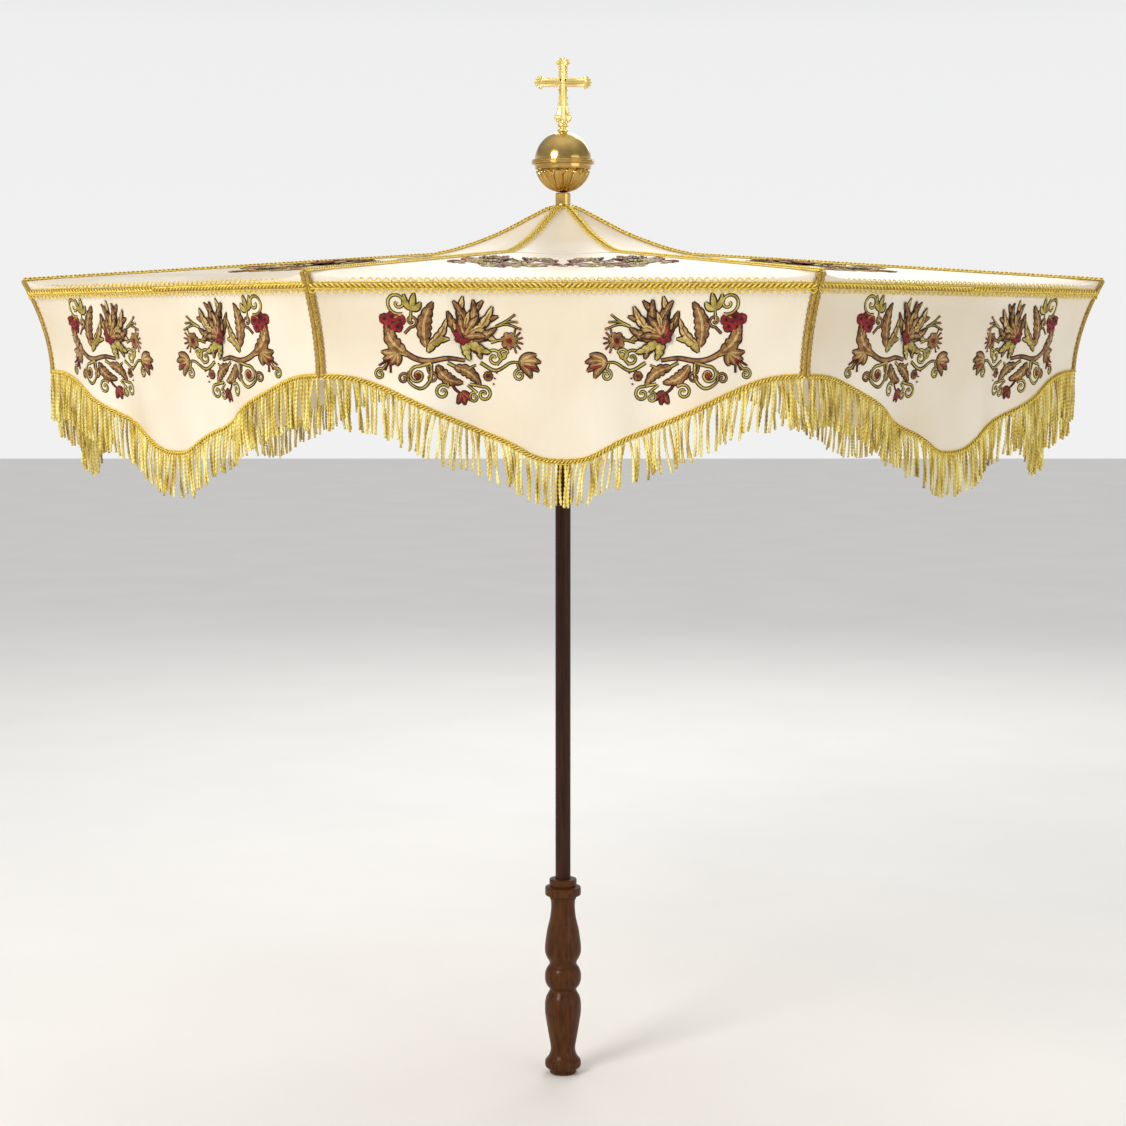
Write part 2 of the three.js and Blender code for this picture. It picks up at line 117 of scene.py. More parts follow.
def ramp(nodes, links, value, stops):
    """Colours along a value: stops are (place, colour) pairs."""
    node = nodes.new("ShaderNodeValToRGB")
    node.color_ramp.elements[0].position = stops[0][0]
    node.color_ramp.elements[0].color = (*stops[0][1], 1)
    node.color_ramp.elements[1].position = stops[-1][0]
    node.color_ramp.elements[1].color = (*stops[-1][1], 1)
    for place, color in stops[1:-1]:
        node.color_ramp.elements.new(place).color = (*color, 1)
    links.new(value, node.inputs["Fac"])
    return node.outputs["Color"]


def bump(nodes, links, shader, height, strength, distance, under=None):
    node = nodes.new("ShaderNodeBump")
    node.inputs["Strength"].default_value = strength
    node.inputs["Distance"].default_value = distance
    links.new(height, node.inputs["Height"])
    if under is not None:
        links.new(under, node.inputs["Normal"])
    links.new(node.outputs["Normal"], shader.inputs["Normal"])
    return node.outputs["Normal"]


def soft_box(name, place, size, power, color):
    """A square light aimed at the middle of the canopy."""
    light = bpy.data.objects.new(name, bpy.data.lights.new(name, "AREA"))
    bpy.context.collection.objects.link(light)
    light.data.size = size
    light.data.energy = power
    light.data.color = color
    light.location = place
    aim = Vector((0, 0, 0.8)) - Vector(place)
    light.rotation_euler = aim.to_track_quat("-Z", "Y").to_euler()


soft_box("key_light", (-2.2, -2.8, 2.6), 1.3, 84, (1, 0.97, 0.91))
soft_box("fill_light", (2.8, -2.2, 1.2), 2.2, 20, (0.96, 0.98, 1))
soft_box("back_light", (0.5, 2.6, 2.6), 2.0, 34, (1, 0.98, 0.95))
world = bpy.data.worlds.new("room")
world.use_nodes = True
nodes, links = world.node_tree.nodes, world.node_tree.links
height = nodes.new("ShaderNodeSeparateXYZ")
direction = nodes.new("ShaderNodeTexCoord").outputs["Generated"]
links.new(direction, height.inputs["Vector"])
dome = ramp(nodes, links, height.outputs["Z"], [
    (0.0, (1.0, 1.0, 1.0)), (0.13, (0.98, 0.98, 0.99)), (0.30, (0.36, 0.36, 0.37)),
    (0.62, (0.52, 0.52, 0.53)), (0.95, (1.0, 1.0, 1.0))])
links.new(dome, nodes["Background"].inputs["Color"])
nodes["Background"].inputs["Strength"].default_value = 0.88
bpy.context.scene.world = world


def new_object(name, verts, faces, materials, smooth_angle=35, face_slots=None):
    """A mesh object from lists of points and faces, smooth where it is gentle."""
    mesh = bpy.data.meshes.new(name)
    mesh.from_pydata([tuple(v) for v in verts], [], [tuple(f) for f in faces])
    for material in materials:
        mesh.materials.append(material)
    if face_slots is not None:
        mesh.polygons.foreach_set("material_index", np.asarray(face_slots, np.int32))
    mesh.shade_smooth()
    mesh.set_sharp_from_angle(angle=math.radians(smooth_angle))
    made = bpy.data.objects.new(name, mesh)
    bpy.context.collection.objects.link(made)
    return made


floor_material, nodes, links, shader = make_material("floor_paint", (0.80, 0.79, 0.77), 0.8)
mottle = noise(nodes, links, pattern_coordinates(nodes, links, (1, 1, 1)), 3.0)
links.new(ramp(nodes, links, mottle, [(0.3, (0.90, 0.89, 0.87)), (0.7, (0.93, 0.92, 0.90))]),
          shader.inputs["Base Color"])
reach = 14.0
floor_corners = [(-reach, -reach, 0), (reach, -reach, 0), (reach, reach, 0), (-reach, reach, 0)]
floor = new_object("floor", floor_corners, [(0, 1, 2, 3)], [floor_material])
floor.location.z = cad_low[2] - 0.0005

# ---- Pole and handle ----
# The pole is a straight hardwood rod, stained nearly black and varnished. The
# handle is turned from one block, lacquered, and glued on over the pole's foot.


def turned(profile, around=64, lobes=None):
    """Points and faces of a closed profile of (radius, height) pairs turned
    about the pole. lobes(angle, radius, height) may change the radius."""
    verts, faces = [], []
    rows = len(profile)
    for radius, height in profile:
        for k in range(around):
            angle = 2 * math.pi * k / around
            out = lobes(angle, radius, height) if lobes else radius
            verts.append((out * math.cos(angle), out * math.sin(angle), height))
    for row in range(rows - 1):
        for k in range(around):
            other = (k + 1) % around
            faces.append((row * around + k, row * around + other,
                          (row + 1) * around + other, (row + 1) * around + k))
    faces.append(tuple(reversed(range(around))))
    faces.append(tuple(range((rows - 1) * around, rows * around)))
    return verts, faces


def rounded(points, steps=6):
    """A smooth line through the points of an outline (Catmull-Rom)."""
    points = [np.array(p, float) for p in points]
    points = [2 * points[0] - points[1], *points, 2 * points[-1] - points[-2]]
    line = []
    for a, b, c, d in zip(points, points[1:], points[2:], points[3:]):
        for k in range(steps):
            t = k / steps
            line.append(0.5 * (2 * b + (c - a) * t + (2 * a - 5 * b + 4 * c - d) * t * t
                               + (3 * b - a - 3 * c + d) * t ** 3))
    line.append(points[-2])
    return line


def wood_material(name, dark, light, roughness, grain):
    material, nodes, links, shader = make_material(name, light, roughness)
    where = pattern_coordinates(nodes, links, (1, 1, grain))
    fine = noise(nodes, links, where, 260, 5, 0.65)
    bright = tuple(channel * 1.2 for channel in light)
    links.new(ramp(nodes, links, fine, [(0.3, dark), (0.55, light), (0.75, bright)]),
              shader.inputs["Base Color"])
    pores = noise(nodes, links, where, 520, 2)
    bump(nodes, links, shader, pores, 0.12, 0.0004)
    shader.inputs["Specular IOR Level"].default_value = 0.10
    shader.inputs["Coat Weight"].default_value = 0.12
    shader.inputs["Coat Roughness"].default_value = 0.08
    return material


pole_wood = wood_material("pole_wood", (0.016, 0.005, 0.002), (0.040, 0.012, 0.005), 0.42, 0.06)
handle_wood = wood_material("handle_wood", (0.034, 0.010, 0.002), (0.082, 0.026, 0.004), 0.40, 0.12)

pole_low, pole_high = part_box("pole")
tube_low, tube_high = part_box("finial_tube")
pole_radius = pole_high[0]
pole_line = [(pole_radius, pole_low[2]), (pole_radius, tube_low[2] - 0.0016),
             (pole_radius - 0.0009, tube_low[2] - 0.0004)]
pole = new_object("pole_rod", *turned(pole_line), [pole_wood])
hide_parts("pole")
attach(pole, "pole_assembly")

handle_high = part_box("handle")[1]
grip = handle_high[0]
waist = 0.0155
foot, lower_vase, bead, upper_vase, collar = 0.022, 0.077, 0.0303, 0.0773, 0.0224


def handle_part(base, height, pairs, steps=6):
    """One turned part: [share of its height, share out from waist to grip]."""
    line = [(waist + out * (grip - waist), base + up * height) for up, out in pairs]
    return [tuple(p) for p in rounded(line, steps)]


bead_base = foot + lower_vase
upper_base = bead_base + bead
collar_base = upper_base + upper_vase
fillet = 0.0012
handle_line = [(0.004, 0), (waist - fillet, 0), (waist - 0.0003, 0.0004), (waist, fillet), (waist, 0.0040)]
handle_line += handle_part(-0.0022, foot, [
    (0.33, 0.05), (0.40, 0.72), (0.50, 0.97), (0.63, 1.0), (0.76, 0.93), (0.86, 0.68)])
handle_line += handle_part(bead_base - lower_vase, lower_vase, [
    (-0.03, 0.22), (0.02, -0.08), (0.07, -0.23), (0.12, -0.22), (0.21, -0.02), (0.37, 0.38), (0.52, 0.72),
    (0.64, 0.97), (0.72, 1.0), (0.80, 0.97), (0.88, 0.72), (0.95, 0.22), (0.975, 0.02)])
handle_line += handle_part(bead_base, bead, [
    (0.0, -0.04), (0.06, 0.12), (0.15, 0.55), (0.31, 0.92), (0.49, 1.0), (0.66, 0.92), (0.83, 0.55),
    (0.93, 0.12)])
handle_line += handle_part(upper_base, upper_vase, [
    (0.0, 0.0), (0.045, 0.16), (0.09, 0.55), (0.15, 0.9), (0.21, 1.0), (0.31, 0.93), (0.51, 0.52),
    (0.69, -0.08), (0.85, -0.33), (0.95, -0.28), (0.985, -0.1)])
handle_line += handle_part(collar_base, collar, [
    (0.0, 0.0), (0.09, 0.03), (0.12, 0.5), (0.15, 0.84), (0.20, 0.93), (0.36, 0.96), (0.51, 0.93),
    (0.57, 0.80), (0.60, 0.2)], 4)
handle_line += handle_part(collar_base, collar, [
    (0.63, -0.1), (0.66, 0.0), (0.72, 0.03), (0.92, 0.03), (0.98, -0.05), (1.0, -0.25)], 4)
handle_line += [(pole_radius + 0.0002, handle_high[2])]
handle = new_object("turned_handle", *turned(handle_line, 96), [handle_wood], 50)
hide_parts("handle")
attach(handle, "pole_assembly")

# ---- Crown, wire, runner, catch, ribs and stretchers ----
# The crown and the runner are cast brass, turned and slotted; the ribs,
# stretchers, wire and catch are drawn steel. Rivets and the wire hold them.


def metal_material(name, color, roughness, grain, patina, depth=0.08):
    material, nodes, links, shader = make_material(name, color, roughness, 1.0)
    where = pattern_coordinates(nodes, links, (1, 1, 1))
    cloud = noise(nodes, links, where, 55, 4)
    links.new(ramp(nodes, links, cloud, [(0.25, patina), (0.6, color)]), shader.inputs["Base Color"])
    shade = nodes.new("ShaderNodeMapRange")
    shade.inputs["To Min"].default_value = roughness - 0.06
    shade.inputs["To Max"].default_value = roughness + 0.12
    links.new(noise(nodes, links, where, 130, 3), shade.inputs["Value"])
    links.new(shade.outputs["Result"], shader.inputs["Roughness"])
    bump(nodes, links, shader, noise(nodes, links, where, grain, 2), depth, 0.0003)
    return material


brass = metal_material("polished_brass", (0.66, 0.43, 0.13), 0.15, 900, (0.44, 0.26, 0.07), 0.03)
steel = metal_material("drawn_steel", (0.46, 0.45, 0.43), 0.34, 1500, (0.30, 0.28, 0.26))
finishes = {"crown": brass, "runner": brass, "crown_wire": steel, "catch_spring": steel}
for k in range(1, 9):
    finishes[f"rib_{k}"] = steel
    finishes[f"stretcher_{k}"] = steel
for node, finish in finishes.items():
    frame["nodes"][node].data.materials.clear()
    frame["nodes"][node].data.materials.append(finish)

# ---- Canopy panels ----
# Each panel of ivory satin is stretched between two ribs, sewn along them and
# turned down over the rim. Its halves meet where the folded canopy creases.
sides = 8
half_turn = math.pi / sides
swing = joints["valance_1a_swing"]["pos_m"]
apothem = swing[0]
rim_height = swing[2] + 0.0006
rim_half = apothem * math.tan(half_turn)
panel_low, panel_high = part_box("panel_1b")
panel_start = panel_low[0]
pitch = math.atan2(panel_high[2] - rim_height, apothem - panel_start)
cloth = 0.0007
rim_roll = 0.0025
rim_dip = 0.0085
dip_reach = 0.045
rib_sag = 0.008
turn_down = 0.0135
turn_start = 0.0016
turn_gap = 0.0032


def satin_material():
    material, nodes, links, shader = make_material("ivory_satin", (0.84, 0.75, 0.58), 0.40)
    where = pattern_coordinates(nodes, links, (1, 1, 1))
    # The noise lays soft warm patches over the ivory: painted shade and painted sheen across the satin.
    cloud = noise(nodes, links, where, 7, 2)
    links.new(ramp(nodes, links, cloud, [(0.32, (0.75, 0.64, 0.47)), (0.6, (0.84, 0.77, 0.64))]),
              shader.inputs["Base Color"])
    crease = noise(nodes, links, pattern_coordinates(nodes, links, (1, 1, 0.35)), 38, 3)
    under = bump(nodes, links, shader, crease, 0.25, 0.004)
    weave = noise(nodes, links, pattern_coordinates(nodes, links, (1, 1, 0.25)), 1900, 2)
    bump(nodes, links, shader, weave, 0.18, 0.0004, under)
    shader.inputs["Sheen Weight"].default_value = 0.10
    shader.inputs["Sheen Roughness"].default_value = 0.35
    return material


satin = satin_material()


def normals_of(grid):
    along = np.gradient(grid, axis=0)
    across = np.gradient(grid, axis=1)
    normal = np.cross(along, across)
    return normal / np.linalg.norm(normal, axis=2, keepdims=True)


def thick_sheet(grid, thickness, flip=False):
    """Points and faces of a closed sheet of even thickness about a grid."""
    rows, columns = grid.shape[:2]
    lift = normals_of(grid) * thickness / 2
    verts = np.concatenate([(grid + lift).reshape(-1, 3), (grid - lift).reshape(-1, 3)])
    count = rows * columns
    index = np.arange(count).reshape(rows, columns)
    a, b, c, d = index[:-1, :-1], index[1:, :-1], index[1:, 1:], index[:-1, 1:]
    top = np.stack([a, b, c, d], -1).reshape(-1, 4)
    faces = [top, top[:, ::-1] + count]
    edge = np.concatenate([index[0, :], index[1:, -1], index[-1, -2::-1], index[-2:0:-1, 0]])
    ahead = np.roll(edge, -1)
    faces.append(np.stack([edge, ahead, ahead + count, edge + count], -1))
    faces = np.concatenate(faces)
    return verts, faces[:, ::-1] if flip else faces


def turn_to(panel):
    """The turn about the pole that takes panel 1 to this panel."""
    return Matrix.Rotation((panel - 1) * 2 * half_turn, 4, "Z")


def copy_to(source, name, panel):
    """Another piece with the same mesh, turned to a panel's place."""
    made = bpy.data.objects.new(name, source.data)
    bpy.context.collection.objects.link(made)
    made.matrix_world = turn_to(panel)
    return made


def placed(source, name, panel):
    """The first piece itself at panel 1, and a copy of it at the others."""
    return source if panel == 1 else copy_to(source, name, panel)


def mirrored(grid, hand):
    return grid * np.array([1, hand, 1])


def edge_dip(share):
    """How far the cloth sinks to the rim's seam between two ribs."""
    return rim_dip * (1 - np.abs(share) ** 10)


def panel_sag(x, share):
    """How far the stretched cloth sinks between its ribs."""
    out = x / apothem
    near_rim = np.clip(1 - (apothem - x) / dip_reach, 0, 1)
    hollow = rib_sag * out * (1 - out ** 4) * np.cos(math.pi * share / 2) ** 2
    return hollow + edge_dip(share) * near_rim ** 2


def panel_point(x, share):
    """The panel's surface: x out along its middle, share of the way to a rib."""
    y = x * math.tan(half_turn) * share
    return np.stack([x, y, rim_height + (apothem - x) * math.tan(pitch) - panel_sag(x, share)], -1)


# The valance hangs from the panel's turned-down edge, so its shape starts here.
valance_corner = 0.098
valance_middle = 0.176
corner_draw = 0.027
middle_draw = 0.026
fold_depth = 0.0110
valance_hem = np.array(rounded([
    (0, 0), (0.06, 0.01), (0.12, 0.055), (0.18, 0.145), (0.25, 0.25), (0.34, 0.35), (0.47, 0.51),
    (0.56, 0.625), (0.68, 0.785), (0.78, 0.905), (0.88, 0.98), (1, 1)]))


def valance_depth(v):
    """Depth of the cloth below the rim, v out from mid-panel."""
    climb = np.interp(v / rim_half, valance_hem[:, 0], valance_hem[:, 1])
    return valance_middle - climb * (valance_middle - valance_corner)


def valance_point(v, depth, out=0.0):
    """The valance's outer surface: v from mid-panel, depth below the rim. The
    first few millimetres roll over the rim and meet the panel."""
    share = v / rim_half
    corner_in = corner_draw * (1 - np.clip(1 - depth / valance_corner, 0, 1) ** 1.9)
    middle_in = middle_draw * np.clip(depth / valance_middle, 0, 1.3) ** 0.9
    above = 1 - np.clip(depth / rim_roll, 0, 1)
    bend = rim_roll * (1 - np.sqrt(np.clip(1 - above ** 2, 0, 1)))
    corner_x = apothem - corner_in - bend
    middle_x = apothem - middle_in - bend
    near_corner = np.abs(share) ** 2.5
    tuck = 0.0016 * np.exp(-((depth - 0.030) / 0.011) ** 2)
    deep_folds = fold_depth * np.clip(depth / 0.14, 0, 1) ** 1.6 * np.sin(3.6 * math.pi * share + 0.9)
    ripple = 0.0016 * np.sin(9 * share + 40 * depth) * np.clip(depth / 0.05, 0, 1)
    folds = (deep_folds + ripple) * np.sin(math.pi * share) ** 2
    x = corner_x * near_corner + middle_x * (1 - near_corner) + (folds - tuck) * (1 - near_corner) + out
    y = v * (corner_x + out) / apothem
    return np.stack([x, y, rim_height + 0.0006 - depth * 0.985], -1)


panel_area = (apothem ** 2 - panel_start ** 2) * math.tan(half_turn) / 2 / math.cos(pitch)
panel_area += turn_down * 0.5 * rim_half
panel_sources = {}
for letter, hand in (("a", -1), ("b", 1)):
    along = np.linspace(0, 1, 52) ** 0.8
    x, share = np.meshgrid(panel_start + (apothem - turn_gap - panel_start) * along,
                           np.linspace(0, 0.999, 26), indexing="ij")
    edge = share[-1]
    roll = edge_dip(edge) + turn_start
    rows = [panel_point(x, share)]
    for step in np.linspace(0, 1, 8):
        rows.append(valance_point(edge * rim_half, roll + step * (turn_down - roll), -0.0012)[None])
    grid = mirrored(np.concatenate(rows), hand)
    panel_sources[letter] = new_object(f"panel_cloth_1{letter}", *thick_sheet(grid, cloth, hand < 0), [satin])
for panel in range(sides, 0, -1):
    for letter in "ab":
        body = f"panel_{panel}{letter}"
        piece = placed(panel_sources[letter], f"panel_cloth_{panel}{letter}", panel)
        if panel > 1:
            piece.data = piece.data.copy()
        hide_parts(body)
        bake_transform(piece)

# ---- Peak cover ----
# A small tent of the same satin, cut in a ring, tied under the brass tube and
# sewn down over the inner ends of the panels.
peak_low, peak_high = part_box("peak_cover")
peak_hem = peak_high[0]
peak_neck = tube_high[0] + 0.0006


peak_slope = np.array(rounded([
    (0, 1), (0.03, 0.985), (0.09, 0.925), (0.2, 0.775), (0.3, 0.635), (0.41, 0.485), (0.53, 0.345),
    (0.7, 0.185), (0.86, 0.065), (1, 0)], 8))


def peak_point(out, angle, lift=0.0):
    """The tent's surface: out from the pole to the middle of a side, and the
    angle about the pole."""
    aside = np.mod(angle + half_turn, 2 * half_turn) - half_turn
    radius = out / np.cos(aside)
    along = (out - peak_neck) / (peak_hem - peak_neck)
    rise = peak_high[2] - 0.0030 - rim_height - (apothem - peak_neck) * math.tan(pitch)
    tent = 0.0006 + rise * np.interp(along, peak_slope[:, 0], peak_slope[:, 1])
    share = np.tan(aside) / math.tan(half_turn)
    hollow = 0.004 * np.sin(math.pi * np.clip(along, 0, 1)) * np.cos(math.pi * share / 2) ** 2
    height = rim_height + (apothem - out) * math.tan(pitch) - panel_sag(out, share) + tent - hollow
    return np.stack([radius * np.cos(angle), radius * np.sin(angle), height + lift], -1)


radius, angle = np.meshgrid(np.linspace(peak_neck, peak_hem - 0.001, 40),
                            np.linspace(0, 2 * math.pi, 161), indexing="ij")
peak = new_object("peak_tent", *thick_sheet(peak_point(radius, angle), 0.0004), [satin])
mesh = bmesh.new()
mesh.from_mesh(peak.data)
bmesh.ops.remove_doubles(mesh, verts=mesh.verts, dist=1e-6)
seam_walls = [face for face in mesh.faces
              if all(abs(vert.co.y) < 1e-7 and vert.co.x > 0 for vert in face.verts)]
bmesh.ops.delete(mesh, geom=seam_walls, context="FACES_ONLY")
mesh.to_mesh(peak.data)
mesh.free()
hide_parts("peak_cover")
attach(peak, "pole_assembly")

# ---- Valances ----
# Each valance is a lined satin panel that hangs from the rim between two ribs.
# Its corners are drawn in by the braid; its lower edge falls to a rounded tip.
valance_top = 0.0105
valance_sources = {}
columns = np.linspace(0, rim_half * 0.9995, 56)
for letter, hand in (("a", -1), ("b", 1)):
    down, v = np.meshgrid(np.linspace(0, 1, 44), columns, indexing="ij")
    grid = mirrored(valance_point(v, valance_top + down * (valance_depth(v) - valance_top)), hand)
    verts, faces = thick_sheet(grid, cloth, hand < 0)
    valance_sources[letter] = new_object(f"valance_cloth_1{letter}", verts, faces, [satin])

# ---- Embroidery ----
# Silk satin stitch over padding, outlined in dark silk: scrolls, leaves and
# flowers. One spray is worked on each half valance and each half panel.


def silk_material(name, dark, color, light, gloss=0.4):
    material, nodes, links, shader = make_material(name, color, gloss)
    where = pattern_coordinates(nodes, links, (1, 1, 1), "UV")
    cloud = noise(nodes, links, pattern_coordinates(nodes, links, (1, 1, 1)), 120, 3)
    stitch = nodes.new("ShaderNodeTexWave")
    stitch.inputs["Scale"].default_value = 260
    stitch.inputs["Distortion"].default_value = 1.5
    stitch.bands_direction = "Y"
    links.new(where, stitch.inputs["Vector"])
    mix = nodes.new("ShaderNodeMath")
    mix.operation = "MULTIPLY_ADD"
    mix.inputs[1].default_value = 0.25
    links.new(stitch.outputs["Fac"], mix.inputs[0])
    links.new(cloud, mix.inputs[2])
    links.new(ramp(nodes, links, mix.outputs[0], [(0.35, dark), (0.6, color), (0.85, light)]),
              shader.inputs["Base Color"])
    bump(nodes, links, shader, stitch.outputs["Fac"], 0.5, 0.0004)
    shader.inputs["Specular IOR Level"].default_value = 0.22
    return material


silks = [
    silk_material("outline_silk", (0.012, 0.005, 0.003), (0.030, 0.013, 0.007), (0.06, 0.03, 0.016), 0.6),
    silk_material("tan_silk", (0.07, 0.024, 0.007), (0.24, 0.10, 0.030), (0.46, 0.25, 0.085)),
    silk_material("olive_silk", (0.17, 0.13, 0.016), (0.44, 0.34, 0.055), (0.68, 0.57, 0.16)),
    silk_material("crimson_silk", (0.05, 0.002, 0.003), (0.20, 0.006, 0.012), (0.38, 0.025, 0.028)),
    silk_material("gold_silk", (0.30, 0.17, 0.04), (0.58, 0.38, 0.12), (0.80, 0.62, 0.28)),
]
outline, tan, olive, crimson, gold = range(5)


def stitch_strip(line, widths, height, color, across=5):
    """A padded strip of stitches along a line: a grid of (x, y, height)."""
    line = np.asarray(line, float)
    ahead = np.gradient(line, axis=0)
    ahead /= np.linalg.norm(ahead, axis=1, keepdims=True) + 1e-9
    side = np.stack([-ahead[:, 1], ahead[:, 0]], -1)
    u = np.linspace(-1, 1, across)
    flat = line[:, None, :] + side[:, None, :] * (np.asarray(widths)[:, None] * u[None, :])[..., None]
    dome = height * np.sqrt(np.clip(1 - u ** 2 * 0.98, 0, 1))[None, :] * np.ones((len(line), 1))
    return np.concatenate([flat, dome[..., None]], -1), color


def curve_through(points, count=24):
    fine = np.array(rounded(points, 8))
    steps = np.r_[0, np.cumsum(np.linalg.norm(np.diff(fine, axis=0), axis=1))]
    return np.stack([np.interp(np.linspace(0, steps[-1], count), steps, fine[:, k]) for k in (0, 1)], -1)


def stem(points, width, color, height=0.8, taper=0.35, count=26):
    line = curve_through(points, count)
    t = np.linspace(0, 1, count)
    widths = width / 2 * (1 - (1 - taper) * t ** 2)
    return [stitch_strip(line, widths + 0.95, height * 0.5, outline),
            stitch_strip(line, widths, height, color)]


def scroll(cx, cy, radius, start, turns, width, color, tail=None):
    """A curling tendril that winds in to a centre; turns may be negative."""
    t = np.linspace(0, 1, 36)
    angle = math.radians(start) + turns * 2 * math.pi * t
    r = radius * (1 - t) ** 0.8 + 0.8
    points = np.stack([cx + r * np.cos(angle), cy + r * np.sin(angle)], -1)
    if tail is not None:
        halfway = ((tail[0] + points[0, 0]) / 2, (tail[1] + points[0, 1]) / 2)
        lead = curve_through([tail, halfway, tuple(points[0])], 8)
        points = np.concatenate([lead[:-1], points])
    widths = width / 2 * np.linspace(1, 0.8, len(points))
    knot = curve_through([(cx - 1.1, cy), (cx + 1.1, cy)], 6)
    knot_widths = 1.1 * np.sin(np.linspace(0.15, math.pi - 0.15, 6))
    return [stitch_strip(points, widths + 0.8, 0.45, outline), stitch_strip(points, widths, 0.9, color),
            stitch_strip(knot, knot_widths, 1.1, color)]


def raised(made, under):
    """Stitching worked over a layer that is already there."""
    return [(grid + np.array([0, 0, under]), color) for grid, color in made]


def leaf(start, end, width, color, bend=0.0, lobes=0, height=1.0, count=30, vein=True, under=0.0):
    """A leaf or petal from its root to its tip, with lobed edges if asked."""
    start, end = np.array(start, float), np.array(end, float)
    across = np.array([-(end - start)[1], (end - start)[0]])
    t = np.linspace(0, 1, count)
    line = start + (end - start) * t[:, None] + across * (bend * np.sin(math.pi * t))[:, None]
    shape = np.sin(math.pi * np.clip(t, 0.02, 0.985) ** 0.8) ** 0.75
    if lobes:
        shape = shape * (0.68 + 0.32 * np.abs(np.sin(lobes * math.pi * t)) ** 0.6)
    widths = width / 2 * shape
    made = [stitch_strip(line, widths + 1.15, height * 0.5, outline),
            stitch_strip(line, widths, height, color, 7)]
    if not vein:
        return raised(made, under)
    light = {tan: gold, olive: gold, crimson: tan, gold: tan}[color]
    made.append(stitch_strip(line[2:-6], (widths * 0.42)[2:-6], height + 0.12, light))
    made.append(stitch_strip(line[1:-4], np.full(count - 5, 0.45), height + 0.3, outline, 3))
    way = across / np.linalg.norm(across)
    onward = (end - start) / np.linalg.norm(end - start)
    for k in range(1, lobes):
        spot = int(count * k / lobes * 0.9)
        for hand in (-1, 1):
            reach = widths[spot] * 0.85
            tip = line[spot] + way * hand * reach + onward * reach * 0.9
            twig = np.linspace(line[spot], tip, 4)
            made.append(stitch_strip(twig, np.full(4, 0.36), height + 0.25, outline, 3))
    return raised(made, under)


def flower(cx, cy, radius, petals, color, heart, turn=0.0, width=0.75, squeeze=1.0):
    made = []
    for k in range(petals):
        angle = math.radians(turn) + 2 * math.pi * k / petals
        tip = (cx + radius * math.cos(angle), cy + radius * squeeze * math.sin(angle))
        root = (cx + radius * 0.16 * math.cos(angle), cy + radius * 0.16 * math.sin(angle))
        made += leaf(root, tip, 2 * math.pi * radius / petals * width, color, 0, 0, 0.9, 14, False)
    for ring, count in ((0.0, 1), (radius * 0.2, 5)):
        for k in range(count):
            x = cx + ring * math.cos(2 * math.pi * k / count)
            y = cy + ring * math.sin(2 * math.pi * k / count)
            made += knot_stitch(x, y, radius * 0.15, heart)
    return made


def knot_stitch(x, y, size, color):
    line = np.stack([np.linspace(x - size, x + size, 7), np.full(7, y)], -1)
    return [stitch_strip(line, size * np.sin(np.linspace(0.2, math.pi - 0.2, 7)), 1.3, color)]


